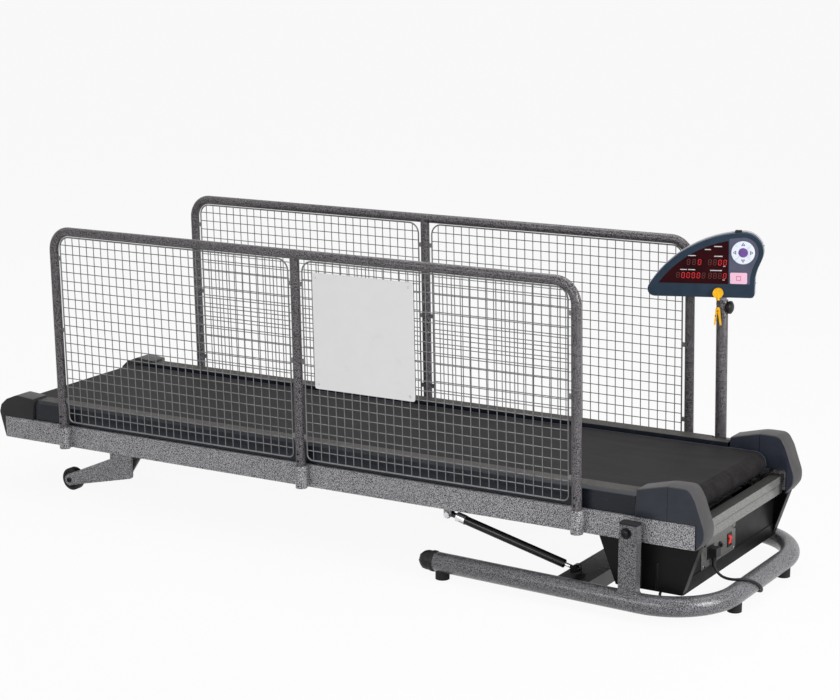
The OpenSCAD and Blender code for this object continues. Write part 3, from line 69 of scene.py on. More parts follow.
def node_in(tree, kind, inputs=None, **settings):
    """One node, with its settings and with its inputs set to values or joined to other nodes."""
    made = tree.nodes.new(kind)
    for setting, value in settings.items():
        setattr(made, setting, value)
    for socket, value in (inputs or {}).items():
        if isinstance(value, bpy.types.NodeSocket):
            tree.links.new(value, made.inputs[socket])
        else:
            made.inputs[socket].default_value = value
    return made


def put(tree, kind, inputs=None, **settings):
    """One shader node."""
    return node_in(tree, "ShaderNode" + kind, inputs, **settings)


def seen_directly(tree):
    """1 for rays from the camera, a gloss or a clear piece, 0 for the rays that light the object."""
    ray = put(tree, "LightPath").outputs
    seen = put(tree, "Math", {0: ray["Is Camera Ray"], 1: ray["Is Glossy Ray"]}, operation="MAXIMUM")
    seen = put(tree, "Math", {0: seen.outputs[0], 1: ray["Is Transmission Ray"]}, operation="MAXIMUM")
    return seen.outputs[0]


room = bpy.data.worlds.new("white_room")
room.use_nodes = True
scene.world = room
room_tree = room.node_tree
sky = room_tree.nodes["Background"]
sky.inputs["Color"].default_value = (1, 1, 1, 1)
light_given = 0.15
light_seen = 1.0
brightness = put(room_tree, "Math", {0: seen_directly(room_tree), 1: light_seen - light_given,
                                     2: light_given}, operation="MULTIPLY_ADD")
room_tree.links.new(brightness.outputs[0], sky.inputs["Strength"])

white_floor = bpy.data.materials.new("white_floor")
white_floor.use_nodes = True
floor_tree = white_floor.node_tree
floor_paint = floor_tree.nodes["Principled BSDF"]
floor_paint.inputs["Base Color"].default_value = (0.68, 0.68, 0.68, 1)
floor_paint.inputs["Roughness"].default_value = 0.9
floor_glow = put(floor_tree, "Emission", {"Color": (1, 1, 1, 1), "Strength": 1.0})
glow_share = 0.93
floor_share = put(floor_tree, "Math", {0: seen_directly(floor_tree), 1: glow_share}, operation="MULTIPLY")
floor_mix = put(floor_tree, "MixShader", {0: floor_share.outputs[0], 1: floor_paint.outputs[0],
                                          2: floor_glow.outputs[0]})
floor_tree.links.new(floor_mix.outputs[0], floor_tree.nodes["Material Output"].inputs["Surface"])
bpy.ops.mesh.primitive_plane_add(size=60)
floor = bpy.context.object
floor.name = "studio_floor"
floor.data.materials.append(white_floor)


def soft_light(name, place, aim, width, height, power):
    """Rectangular soft light at the place, turned towards the aim."""
    lamp = bpy.data.lights.new(name, "AREA")
    lamp.shape = "RECTANGLE"
    lamp.size = width
    lamp.size_y = height
    lamp.energy = power
    holder = bpy.data.objects.new(name, lamp)
    holder.location = place
    holder.rotation_euler = (Vector(aim) - Vector(place)).to_track_quat("-Z", "Y").to_euler()
    scene.collection.objects.link(holder)


soft_light("overhead_light", (0.2, 0.5, 3.6), (0, 0, 0.2), 4.2, 1.8, 84)
soft_light("near_light", (-0.2, -4.2, 1.9), (0, 0, 0.3), 4.4, 0.6, 66)
soft_light("front_light", (4.2, -0.6, 1.7), (0.4, 0, 0.3), 1.8, 1.8, 120)

# Mains lead: a 7 mm black PVC sheathed cable with a moulded right-angle connector and a moulded plug.
# It drops from the inlet, winds once over and under the base's front tube and ends below the motor pan in a
# coil with a hook-and-loop tie.


def new_finish(name, sockets):
    """Material with its even values set straight on the shader."""
    material = bpy.data.materials.new(name)
    material.use_nodes = True
    shader = material.node_tree.nodes["Principled BSDF"]
    for socket, value in sockets.items():
        shader.inputs[socket].default_value = value
    return material


def join(material, socket, output):
    """Joins a node's output to a socket of the material's shader."""
    material.node_tree.links.new(output, material.node_tree.nodes["Principled BSDF"].inputs[socket])


def spot_on(material):
    """Where each shaded point lies on its object."""
    return put(material.node_tree, "TexCoord").outputs["Object"]


def mapped(tree, value, low, high, start=0.0, stop=1.0, **settings):
    """The value between start and stop, stretched to run from low to high."""
    made = put(tree, "MapRange", {"Value": value, "From Min": start, "From Max": stop,
                                  "To Min": low, "To Max": high}, **settings)
    return made.outputs[0]


def noise(tree, spot, scale, detail=2.0, roughness=0.5):
    """Cloudy noise over the object."""
    made = put(tree, "TexNoise", {"Vector": spot, "Scale": scale, "Detail": detail, "Roughness": roughness})
    return made.outputs[0]


def spread(tree, cloud, low, high):
    """A noise's usual range, stretched to run from low to high."""
    return mapped(tree, cloud, low, high, 0.3, 0.7)


def tint(material, colour, shade):
    """Gives the material the colour times the shade."""
    made = put(material.node_tree, "VectorMath", {0: colour, 1: shade}, operation="MULTIPLY")
    join(material, "Base Color", made.outputs[0])


def moulded(name, colour, roughness, grain, relief=0.12, coat=0.0, cloud=0.15, shine=0.2):
    """Moulded plastic or rubber: one colour with a faint flow mottle, and a fine grain from the tool."""
    material = new_finish(name, {"Coat Weight": coat, "Coat Roughness": 0.15, "Specular IOR Level": shine})
    tree = material.node_tree
    spot = spot_on(material)
    mottle = noise(tree, spot, 26.0, 3.0, 0.55)
    tint(material, colour, spread(tree, mottle, 1 - cloud, 1 + cloud))
    join(material, "Roughness", spread(tree, mottle, roughness - 0.05, roughness + 0.07))
    pits = noise(tree, spot, 1 / grain)
    bump = put(tree, "Bump", {"Height": pits, "Strength": relief, "Distance": grain / 3})
    join(material, "Normal", bump.outputs[0])
    return material


def finished(name, mesh, material, crease=35, place=None):
    """Plain mesh piece, with its normals outwards and with corners sharper than crease kept sharp."""
    if place is not None:
        bmesh.ops.transform(mesh, matrix=place, verts=mesh.verts)
    bmesh.ops.recalc_face_normals(mesh, faces=mesh.faces)
    data = bpy.data.meshes.new(name)
    mesh.to_mesh(data)
    mesh.free()
    data.shade_smooth()
    data.set_sharp_from_angle(angle=math.radians(crease))
    data.materials.append(material)
    piece = bpy.data.objects.new(name, data)
    scene.collection.objects.link(piece)
    return piece


def join_rings(mesh, rings, closed):
    """Faces from each ring of points to the next, and then from the last to the first or over both ends."""
    pairs = list(zip(rings, rings[1:]))
    if closed:
        pairs.append((rings[-1], rings[0]))
    for low, high in pairs:
        for k in range(len(low)):
            after = (k + 1) % len(low)
            mesh.faces.new((low[k], low[after], high[after], high[k]))
    if not closed:
        mesh.faces.new(list(reversed(rings[0])))
        mesh.faces.new(rings[-1])


def sweep_into(mesh, path, radii, sides, closed=False):
    """Round tube along the points, with a radius at each point."""
    side = Vector((0.1, 1, 0.2))
    rings = []
    last = len(path) - 1
    for i, point in enumerate(path):
        ahead = path[(i + 1) % len(path)] if closed else path[min(i + 1, last)]
        behind = path[i - 1] if closed else path[max(i - 1, 0)]
        along = (ahead - behind).normalized()
        side = (side - side.dot(along) * along).normalized()
        up = along.cross(side)
        ring = []
        for k in range(sides):
            turn = 2 * math.pi * k / sides
            offset = math.cos(turn) * side + math.sin(turn) * up
            ring.append(mesh.verts.new(point + radii[i] * offset))
        rings.append(ring)
    join_rings(mesh, rings, closed)


def dress(names, material):
    """Gives drawn pieces one material."""
    for name in names:
        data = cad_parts[name].data
        data.materials.clear()
        data.materials.append(material)


lead_points = [(132, -125, 108), (133, -125, 98), (136, -124, 88), (142, -122, 79), (151, -121, 72),
               (163, -121, 68.5), (176, -122, 68.3), (188, -121.5, 69.4), (200, -117, 71),
               (212.3, -105, 68.3), (222.2, -89, 60.6), (228, -72.5, 49.5), (228.6, -57, 37),
               (223.8, -42, 25.4), (214.5, -29, 16.9), (200, -18.5, 13), (189, -14.5, 11.8),
               (178, -13, 9.4), (167, -14, 6.6), (156, -17.5, 4.5),
               (147, -25, 3.6), (141, -37, 3.5), (138.5, -53, 3.5), (138, -73, 3.5), (138, -96, 3.5),
               (136, -118, 3.5), (130, -140, 3.5), (119, -160, 3.5), (103, -176, 3.5), (83, -186, 3.5),
               (60, -189, 3.5), (38, -184, 3.5), (19, -172, 3.5), (5, -154, 3.5), (-4, -132, 3.5),
               (-9, -106, 3.5), (-12, -76, 3.5), (-15, -44, 3.5), (-18.5, -9, 3.5), (-22.5, 27, 3.5)]
lead_points = [Vector(point) for point in lead_points]
lead_radius = 3.5


def rounded_route(points, steps):
    """Smooth curve through every point."""
    route = []
    last = len(points) - 1
    for i in range(last):
        a, b, c, d = points[max(i - 1, 0)], points[i], points[i + 1], points[min(i + 2, last)]
        for step in range(steps):
            t = step / steps
            route.append(0.5 * (2 * b + (c - a) * t + (2 * a - 5 * b + 4 * c - d) * t * t
                                + (3 * b - a - 3 * c + d) * t ** 3))
    return route + [points[last]]


coil_turns = 2.29
coil_climb = 0.5
coil_pitch = 9
coil_layer = 7.6
coil_radius = 50
coil_steps = 24
plug_reach = 36
coil_all = 2 * coil_turns + coil_climb
run_in = lead_points[-1] - lead_points[-2]
coil_begin = math.atan2(run_in.y, run_in.x) - math.pi / 2
coil_centre = lead_points[-1] - coil_radius * Vector((math.cos(coil_begin), math.sin(coil_begin), 0))


def coil_point(turn):
    """Point of the coil: in on the floor, up one layer in half a turn, and out again on top."""
    climb = min(max((turn - coil_turns) / coil_climb, 0), 1)
    back = max(turn - coil_turns - coil_climb, 0)
    radius = coil_radius - coil_pitch * min(turn, coil_turns) + coil_pitch * back
    angle = coil_begin + 2 * math.pi * turn
    rise = coil_layer * (1 - math.cos(math.pi * climb)) / 2
    return coil_centre + Vector((radius * math.cos(angle), radius * math.sin(angle), rise))


coil_count = round(coil_all * coil_steps)
coil_route = [coil_point(coil_all * i / coil_count) for i in range(1, coil_count + 1)]
coil_out = (coil_route[-1] - coil_route[-2]).normalized()
lead_route = rounded_route(lead_points, 4) + coil_route + [coil_route[-1] + plug_reach * coil_out]
black_sheath = moulded("black_sheath", (0.018, 0.018, 0.019), 0.5, 0.0009)
lead_mesh = bmesh.new()
sweep_into(lead_mesh, lead_route, [lead_radius] * len(lead_route), 12)
mains_lead = finished("mains_lead_sheath", lead_mesh, black_sheath, 60, base_place)
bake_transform(mains_lead)
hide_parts("mains_lead", "lead_coil")

sleeve_mesh = bmesh.new()
sleeve_path = [Vector((132, -125, 117)), Vector((132, -125, 110))]
sleeve_radii = [6.6, 6.4]
for ring in range(9):
    drop = 108 - 2 * ring
    lean = 0.05 * ring * ring / 4
    sleeve_path.append(Vector((132 + lean, -125, drop)))
    sleeve_radii.append((5.9 if ring % 2 else 5.1) - 0.1 * ring)
sweep_into(sleeve_mesh, sleeve_path, sleeve_radii, 20)
lead_sleeve = finished("connector_sleeve", sleeve_mesh, black_sheath, 25, base_place)
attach(lead_sleeve, "deck")

tie_mesh = bmesh.new()
tie_turn = 0.8
tie_angle = coil_begin + 2 * math.pi * tie_turn
tie_way = Vector((math.cos(tie_angle), math.sin(tie_angle), 0))
tie_across = Vector((-tie_way.y, tie_way.x, 0))
tie_loop = []
for corner, start in (((51.5, 3.4), 270), ((51.5, 13.2), 0), ((28.9, 13.2), 90), ((28.9, 3.4), 180)):
    for step in range(5):
        angle = math.radians(start + 22.5 * step)
        tie_loop.append((corner[0] + 2.6 * math.cos(angle), max(corner[1] + 3 * math.sin(angle), 0.9)))
tie_rings = []
for thick in (0, 0.9):
    for half in (-6, 6):
        ring = []
        for reach, rise in tie_loop:
            away = Vector((reach - 40.5, rise - 8.2)).normalized() * thick
            place = coil_centre + (reach + away.x) * tie_way + half * tie_across
            ring.append(tie_mesh.verts.new((place.x, place.y, max(rise + away.y, 0.05))))
        tie_rings.append(ring)
inner_a, inner_b, outer_a, outer_b = tie_rings
join_rings(tie_mesh, [inner_a, inner_b, outer_b, outer_a], True)
tie_fabric = moulded("tie_fabric", (0.03, 0.03, 0.032), 0.9, 0.0008, 0.5)
coil_tie = finished("coil_tie", tie_mesh, tie_fabric, 35, base_place)
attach(coil_tie, "base")
dress(["cord_connector", "mains_plug"], moulded("plug_vinyl", (0.022, 0.022, 0.024), 0.42, 0.0012))

# Base: a 50 mm steel tube bent to a U with two box uprights welded on, stove-painted in a coarse silver-vein
# hammertone, and a black crossbar between them. Rubber feet and plastic end caps are pushed in; the pivot
# bolts go through.


def ramp(tree, value, first, last, start=0.0, stop=1.0):
    """Colour that runs from first to last while the value runs from start to stop."""
    made = put(tree, "ValToRGB", {0: value})
    for element, place, colour in zip(made.color_ramp.elements, (start, stop), (first, last)):
        element.position = place
        element.color = (*colour, 1)
    return made.outputs[0]


def hammered(name, dark, light, blob, relief, shine=0.24):
    """Baked hammer paint: pale flecks that draw together over a dark ground, under a clear gloss."""
    material = new_finish(name, {"Metallic": 0.1, "Roughness": 0.3, "Specular IOR Level": shine,
                                 "Coat Weight": 0.10, "Coat Roughness": 0.1})
    tree = material.node_tree
    spot = spot_on(material)
    drift = put(tree, "TexNoise", {"Vector": spot, "Scale": 0.4 / blob, "Detail": 2.0})
    bent = put(tree, "VectorMath", {0: drift.outputs["Color"], 1: (0.7 * blob,) * 3, 2: spot},
               operation="MULTIPLY_ADD")
    flecks = put(tree, "TexVoronoi", {"Vector": bent.outputs[0], "Scale": 1 / blob, "Smoothness": 0.35,
                                      "Randomness": 1.0}, feature="SMOOTH_F1")
    join(material, "Base Color", ramp(tree, flecks.outputs["Distance"], light, dark, 0.12, 0.62))
    bump = put(tree, "Bump", {"Height": flecks.outputs["Distance"], "Strength": relief, "Distance": blob / 5},
               invert=True)
    join(material, "Normal", bump.outputs[0])
    return material


def soften(names, width, segments=2):
    """Rounds the cut edges of drawn pieces: joins their triangles and bevels the sharp edges."""
    for name in names:
        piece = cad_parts[name]
        weld = piece.modifiers.new("joined", "WELD")
        weld.merge_threshold = 0.00001
        flat = piece.modifiers.new("flat_faces", "DECIMATE")
        flat.decimate_type = "DISSOLVE"
        flat.angle_limit = math.radians(0.6)
        edge = piece.modifiers.new("soft_edges", "BEVEL")
        edge.width = width
        edge.segments = segments
        edge.limit_method = "ANGLE"
        edge.angle_limit = math.radians(32)
        edge.harden_normals = True


def ring_into(mesh, profile, place, sides, closed=False):
    """Turned solid: the profile's radius and height pairs, turned round the place's own Z axis."""
    rings = []
    for radius, height in profile:
        ring = []
        for k in range(sides):
            turn = 2 * math.pi * k / sides
            point = Vector((radius * math.cos(turn), radius * math.sin(turn), height))
            ring.append(mesh.verts.new(place @ point))
        rings.append(ring)
    join_rings(mesh, rings, closed)


base_paint = hammered("base_hammertone", (0.016, 0.016, 0.018), (0.38, 0.37, 0.40), 0.0020, 0.6, 0.55)
crossbar_paint = moulded("crossbar_black", (0.014, 0.014, 0.015), 0.3, 0.0016, 0.1, 0.3)
cap_plastic = moulded("cap_black", (0.016, 0.016, 0.018), 0.4, 0.0011)
foot_rubber = moulded("foot_rubber", (0.02, 0.02, 0.02), 0.75, 0.0009, 0.25)
dress(["base_tube", "uprights"], base_paint)
dress(["base_plugs"], cap_plastic)
dress(["base_feet"], foot_rubber)
dress(["base_crossbar"], crossbar_paint)
soften(["uprights", "base_crossbar", "base_plugs"], 0.0016, 3)
soften(["base_feet", "base_tube"], 0.0008)

leg_line = 324.5
tube_middle = 42
tube_radius = 25
upright_half = 12.5
upright_length = 47
bead_mesh = bmesh.new()
for side in (-1, 1):
    saddle = []
    for x, step in ((-19, 1), (28, -1)):
        for k in range(13):
            across = upright_half * (k / 6 - 1) * step
            rise = math.sqrt(tube_radius ** 2 - across * across)
            saddle.append(Vector((x, side * (leg_line + across), tube_middle + rise)))
        for k in range(1, 24):
            along = x - upright_length * math.copysign(k / 24, x)
            saddle.append(Vector((along, side * (leg_line + upright_half * step), 63.7)))
    ripple = [2.6 + 0.5 * math.sin(1.9 * i) for i in range(len(saddle))]
    sweep_into(bead_mesh, saddle, ripple, 10, closed=True)
base_welds = finished("base_weld_beads", bead_mesh, base_paint, 60, base_place)
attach(base_welds, "base")

lip_profile = [(24.5, -1), (26.4, -0.6), (26.9, 1.2), (26.9, 7.5), (26.2, 9), (24.5, 9.5)]
lip_mesh = bmesh.new()
for side in (-1, 1):
    mouth = Matrix.Translation((-535, side * leg_line, tube_middle))
    mouth = mouth @ Matrix.Rotation(math.radians(-90), 4, "Y")
    ring_into(lip_mesh, lip_profile, mouth, 48, True)
    for k in range(3):
        turn = mouth @ Matrix.Rotation(math.radians(60 * k + 90), 4, "Z")
        notch = []
        for step in range(-8, 9):
            bend = math.radians(step * 8.5)
            notch.append(Vector((25.1 * math.sin(bend), 0, 20 + 25.1 * math.cos(bend))))
        sweep_into(lip_mesh, [turn @ point for point in notch], [0.9] * 17, 6)
cap_lips = finished("leg_cap_lips", lip_mesh, cap_plastic, 35, base_place)
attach(cap_lips, "base")


def plated(name, colour, roughness):
    """Bare or plated steel: brushed by fine scratches, a little cloudy."""
    material = new_finish(name, {"Metallic": 1.0})
    tree = material.node_tree
    spot = spot_on(material)
    brushed = put(tree, "Mapping", {"Vector": spot, "Scale": (1.0, 14.0, 14.0)})
    lines = noise(tree, brushed.outputs[0], 100.0, 4.0)
    tint(material, colour, spread(tree, noise(tree, spot, 60.0), 0.85, 1.1))
    join(material, "Roughness", spread(tree, lines, roughness - 0.06, roughness + 0.1))
    return material


def facing_out(x, y, z, side):
    """Place at the point, its Z axis turned out to the near side (-1) or the far side (1)."""
    return Matrix.Translation((x, y, z)) @ Matrix.Rotation(math.radians(-90 * side), 4, "X")


black_bolt = plated("blacked_bolt", (0.025, 0.025, 0.028), 0.34)
dress(["pivot_bolts"], black_bolt)
soften(["pivot_bolts"], 0.0012)
pivot_height = 213
head_profile = [(8.9, -0.5), (8.4, 1.0), (7.0, 2.0), (5.4, 2.2), (4.8, 1.6), (4.8, 0.1)]
washer_profile = [(9.2, -0.2), (13.6, -0.2), (13.6, 1.4), (13.0, 1.8), (9.2, 1.8)]
head_mesh = bmesh.new()
for side in (-1, 1):
    ring_into(head_mesh, head_profile, facing_out(0, side * 345, pivot_height, side), 36)
    ring_into(head_mesh, washer_profile, facing_out(0, side * 337, pivot_height, side), 40, True)
bolt_heads = finished("pivot_bolt_faces", head_mesh, black_bolt, 30, base_place)
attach(bolt_heads, "base")

# Deck frame: two 60 x 30 mm steel rails, welded crossmembers, a folded front crossmember, panel sockets and
# roller brackets, all stove-painted in grey hammertone. The crossmembers' paint is finer, with painted shade
# darkening their upward faces and a painted shadow line along the front one's fold. The bolts are zinc
# plated.


def apart(tree, value, place):
    """How far the value is from the place."""
    gap = put(tree, "Math", {0: value, 1: place}, operation="SUBTRACT")
    return put(tree, "Math", {0: gap.outputs[0]}, operation="ABSOLUTE").outputs[0]


deck_paint = hammered("deck_hammertone", (0.048, 0.048, 0.052), (0.90, 0.89, 0.93), 0.0020, 0.4)
plate_paint = hammered("plate_hammertone", (0.065, 0.065, 0.062), (0.20, 0.20, 0.19), 0.0018, 0.2)
front_paint_and_shade = hammered("crossmember_hammertone_and_shade", (0.11, 0.11, 0.106), (0.33, 0.33, 0.315), 0.0018, 0.2)
front_tree = front_paint_and_shade.node_tree
front_flecks = front_tree.nodes["Principled BSDF"].inputs["Base Color"].links[0].from_socket
# Painted shade: faces turned upwards are darkened, and a dark painted shadow line runs under the fold's step.
front_places = put(front_tree, "TexCoord").outputs
front_way = put(front_tree, "SeparateXYZ", {0: front_places["Normal"]})
shelf_painted_shade = mapped(front_tree, front_way.outputs["Z"], 1.0, 0.38, 0.7, 0.9)
front_spot = put(front_tree, "SeparateXYZ", {0: front_places["Object"]})
fold_height = (deck_place @ Vector((140, 0, -12))).z
front_drop = apart(front_tree, front_spot.outputs["Z"], fold_height)
fold_painted_shadow = mapped(front_tree, front_drop, 0.2, 1.0, 0.0013, 0.0020)
crossmember_painted_shade = put(front_tree, "Math", {0: shelf_painted_shade, 1: fold_painted_shadow}, operation="MULTIPLY")
tint(front_paint_and_shade, front_flecks, crossmember_painted_shade.outputs[0])
dress(["side_rails", "frame_brackets"], deck_paint)
dress(["deck_crossmembers"], front_paint_and_shade)
soften(["side_rails"], 0.0022, 3)
soften(["deck_crossmembers", "frame_brackets"], 0.0008)
zinc = plated("zinc_plate", (0.62, 0.63, 0.65), 0.34)
dress(["deck_bolts"], zinc)
soften(["deck_bolts"], 0.0006)

panel_posts = (-145, -955, -1765)
seam_mesh = bmesh.new()
for side in (-1, 1):
    for post in panel_posts:
        for edge in (-10.5, 10.5):
            line = [Vector((post + edge, side * 297.5, -27 + 3 * k)) for k in range(19)]
            sweep_into(seam_mesh, line, [1.9 + 0.4 * math.sin(2.1 * k) for k in range(19)], 8)
socket_welds = finished("socket_weld_beads", seam_mesh, deck_paint, 60, deck_place)
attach(socket_welds, "deck")

# Rollers and running board: two turned steel rollers on fixed axles, and a waxed black-faced board that
# rests on rubber cushions, so the belt slides over it.
dress(["front_roller", "rear_roller"], plated("turned_steel", (0.60, 0.61, 0.63), 0.28))
soften(["front_roller", "rear_roller"], 0.0008)
board_face = new_finish("board_laminate", {"Roughness": 0.45})
board_tree = board_face.node_tree
board_grain = put(board_tree, "Mapping", {"Vector": spot_on(board_face), "Scale": (1.0, 12.0, 60.0)})
board_streak = noise(board_tree, board_grain.outputs[0], 9.0, 5.0)
board_colour = ramp(board_tree, board_streak, (0.012, 0.011, 0.010), (0.032, 0.030, 0.028))
join(board_face, "Base Color", board_colour)
dress(["running_board"], board_face)
dress(["deck_cushions"], foot_rubber)
soften(["running_board", "deck_cushions"], 0.001)

# Running belt: a 2.5 mm endless belt of PVC on woven polyester, with a fine pebbled face. It runs round both
# rollers and over the board, and a bluish painted highlight runs along its edges.
belt_face_and_sheen = new_finish("belt_pebble_and_edge_sheen", {"Specular IOR Level": 0.08})
belt_tree = belt_face_and_sheen.node_tree
belt_spot = spot_on(belt_face_and_sheen)
pebbles = put(belt_tree, "TexVoronoi", {"Vector": belt_spot, "Scale": 420.0, "Randomness": 0.7})
scuff_place = put(belt_tree, "Mapping", {"Vector": belt_spot, "Scale": (1.0, 7.0, 7.0)})
scuffs = noise(belt_tree, scuff_place.outputs[0], 5.0, 6.0, 0.6)
belt_black = ramp(belt_tree, scuffs, (0.008, 0.007, 0.008), (0.026, 0.024, 0.025), 0.3, 0.75)
belt_split = put(belt_tree, "SeparateXYZ", {0: belt_spot})
belt_off = put(belt_tree, "Math", {0: belt_split.outputs["Y"]}, operation="ABSOLUTE")
# Painted highlight: a bluish band along both edges of the belt.
belt_edge_painted_sheen = mapped(belt_tree, belt_off.outputs[0], 0.0, 1.0, 0.2222, 0.2246)
belt_colour_and_sheen = put(belt_tree, "Mix", {"Factor": belt_edge_painted_sheen, 6: belt_black, 7: (0.12, 0.17, 0.23, 1)},
                  data_type="RGBA")
join(belt_face_and_sheen, "Base Color", belt_colour_and_sheen.outputs[2])
join(belt_face_and_sheen, "Roughness", mapped(belt_tree, scuffs, 0.5, 0.72))
belt_bump = put(belt_tree, "Bump", {"Height": pebbles.outputs["Distance"], "Strength": 0.3,
                                    "Distance": 0.0005})
join(belt_face_and_sheen, "Normal", belt_bump.outputs[0])
dress(["running_belt"], belt_face_and_sheen)
soften(["running_belt"], 0.0006, 1)

# Foot rails: glossy blue-black extruded plastic over the deck's edges, with a ribbed grey anti-slip strip
# pressed into the top of each. They are clipped on and butt against the covers.
rail_gloss = moulded("foot_rail_gloss", (0.013, 0.0155, 0.022), 0.22, 0.0022, 0.05, shine=0.22)
tread_grey = moulded("tread_grey", (0.085, 0.081, 0.074), 0.5, 0.0008, 0.3)
dress(["foot_rails"], rail_gloss)
soften(["foot_rails"], 0.0012, 3)


def new_tree(name, sockets):
    """Geometry tree with named inputs, and its group nodes."""
    tree = bpy.data.node_groups.new(name, "GeometryNodeTree")
    for socket, kind in sockets:
        tree.interface.new_socket(socket, in_out="INPUT", socket_type="NodeSocket" + kind)
    tree.interface.new_socket("Geometry", in_out="OUTPUT", socket_type="NodeSocketGeometry")
    return tree, tree.nodes.new("NodeGroupInput"), tree.nodes.new("NodeGroupOutput")


def repeated(tree, points, piece, faced=False):
    """The piece on each of the points, turned to the point's own facing where asked."""
    inputs = {"Points": points, "Instance": piece}
    if faced:
        way = node_in(tree, "GeometryNodeInputNamedAttribute", {"Name": "facing"}, data_type="FLOAT_VECTOR")
        aim = node_in(tree, "FunctionNodeAlignRotationToVector", {"Vector": way.outputs[0]}, axis="Z")
        inputs["Rotation"] = aim.outputs[0]
    return node_in(tree, "GeometryNodeInstanceOnPoints", inputs).outputs[0]


def close_tree(tree, group_out, instances, finish):
    """Realizes the instances, gives them their finish and ends the tree."""
    real = node_in(tree, "GeometryNodeRealizeInstances", {0: instances})
    painted = node_in(tree, "GeometryNodeSetMaterial", {"Geometry": real.outputs[0], "Material": finish})
    tree.links.new(painted.outputs[0], group_out.inputs[0])


def grown(name, tree, points, values, place):
    """Plain mesh that the tree grows from the points, put in its place."""
    seed = bpy.data.meshes.new(name)
    seed.from_pydata([point for point, facing in points], [], [])
    facing_data = seed.attributes.new("facing", "FLOAT_VECTOR", "POINT")
    for i, (point, facing) in enumerate(points):
        facing_data.data[i].vector = facing
    piece = bpy.data.objects.new(name, seed)
    scene.collection.objects.link(piece)
    grow = piece.modifiers.new("grow", "NODES")
    grow.node_group = tree
    for item in tree.interface.items_tree:
        if item.in_out == "INPUT" and item.name in values:
            grow[item.identifier] = values[item.name]
    bpy.context.view_layer.update()
    ready = piece.evaluated_get(bpy.context.evaluated_depsgraph_get())
    plain = bpy.data.meshes.new_from_object(ready)
    piece.modifiers.remove(grow)
    piece.data = plain
    plain.transform(place)
    plain.shade_smooth()
    plain.set_sharp_from_angle(angle=math.radians(30))
    return piece


rib_tree, rib_in, rib_out = new_tree("tread_ribs", [
    ("Geometry", "Geometry"), ("Ribs", "Int"), ("Rib pitch", "Float"), ("Rib width", "Float"),
    ("Rib height", "Float"), ("Length", "Float"), ("Finish", "Material")])
rib_size = node_in(rib_tree, "ShaderNodeCombineXYZ", {0: rib_in.outputs["Length"],
                                                      1: rib_in.outputs["Rib width"],
                                                      2: rib_in.outputs["Rib height"]})
rib_bar = node_in(rib_tree, "GeometryNodeMeshCube", {"Size": rib_size.outputs[0]})
rib_gap = node_in(rib_tree, "ShaderNodeCombineXYZ", {1: rib_in.outputs["Rib pitch"]})
rib_row = node_in(rib_tree, "GeometryNodeMeshLine", {"Count": rib_in.outputs["Ribs"],
                                                     "Offset": rib_gap.outputs[0]},
                  mode="OFFSET", count_mode="TOTAL")
rib_bars = repeated(rib_tree, rib_row.outputs[0], rib_bar.outputs[0])
rib_strips = repeated(rib_tree, rib_in.outputs["Geometry"], rib_bars)
close_tree(rib_tree, rib_out, rib_strips, rib_in.outputs["Finish"])
for name, first_y, ribs, rail_start, rail_stop in (("near_tread_ribs", -276.2, 15, -1890, -2),
                                                   ("far_tread_ribs", 235.2, 15, -1890, -60),
                                                   ("far_tread_end_ribs", 235.2, 9, -60, -2)):
    middle = ((rail_start + rail_stop) / 2, first_y, 84.95)
    tread = grown(name, rib_tree, [(middle, (0, 0, 1))], {
        "Ribs": ribs, "Rib pitch": 2.93, "Rib width": 1.9, "Rib height": 1.1,
        "Length": rail_stop - rail_start, "Finish": tread_grey}, deck_place)
    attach(tread, "deck")


def box_into(mesh, low, high):
    """Block between two opposite corners."""
    size = Vector(high) - Vector(low)
    middle = (Vector(high) + Vector(low)) / 2
    bmesh.ops.create_cube(mesh, size=1, matrix=Matrix.Translation(middle) @ Matrix.Diagonal((*size, 1)))


tread_mesh = bmesh.new()
box_into(tread_mesh, (-1890.5, -277.6, 84.4), (-1.5, -233.6, 85.0))
box_into(tread_mesh, (-1890.5, 233.6, 84.4), (-59.5, 277.6, 85.0))
box_into(tread_mesh, (-59.5, 233.6, 84.4), (-1.5, 260.6, 85.0))
tread_backs = finished("tread_strip_backs", tread_mesh, tread_grey, 35, deck_place)
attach(tread_backs, "deck")

# Front covers: two moulded ABS housings over the front roller's ends. The sides are glossy blue-black with an
# upright joint line, the top and front carry a matt taupe band, and all edges are rolled.
cover_outline = [(1, 30.3), (158.3, 30.3), (158.3, -30), (161, -30), (180.5, -5.5), (182, 21), (159, 88.5),
                 (142, 118), (86, 118), (6, 98.5)]
cover_radii = [0, 0, 0, 0, 36, 50, 60, 26, 120, 4]


def rounded_outline(points, radii, steps=6):
    """Outline with each corner cut round."""
    outline = []
    count = len(points)
    for i, radius in enumerate(radii):
        here = Vector(points[i])
        before = (Vector(points[i - 1]) - here).normalized()
        after = (Vector(points[(i + 1) % count]) - here).normalized()
        if radius == 0:
            outline.append(here)
            continue
        reach = radius / math.tan(before.angle(after) / 2)
        for step in range(steps + 1):
            t = step / steps
            outline.append(here + reach * (before * (1 - t) ** 2 + after * t ** 2))
    return outline


def drawn_in(outline, depth):
    """Anticlockwise outline moved in by depth on every side."""
    moved = []
    for i, here in enumerate(outline):
        before = (here - outline[i - 1]).normalized()
        after = (outline[(i + 1) % len(outline)] - here).normalized()
        left_a, left_b = Vector((-before.y, before.x)), Vector((-after.y, after.x))
        moved.append(here + depth * (left_a + left_b) / (1 + left_a.dot(left_b)))
    return moved


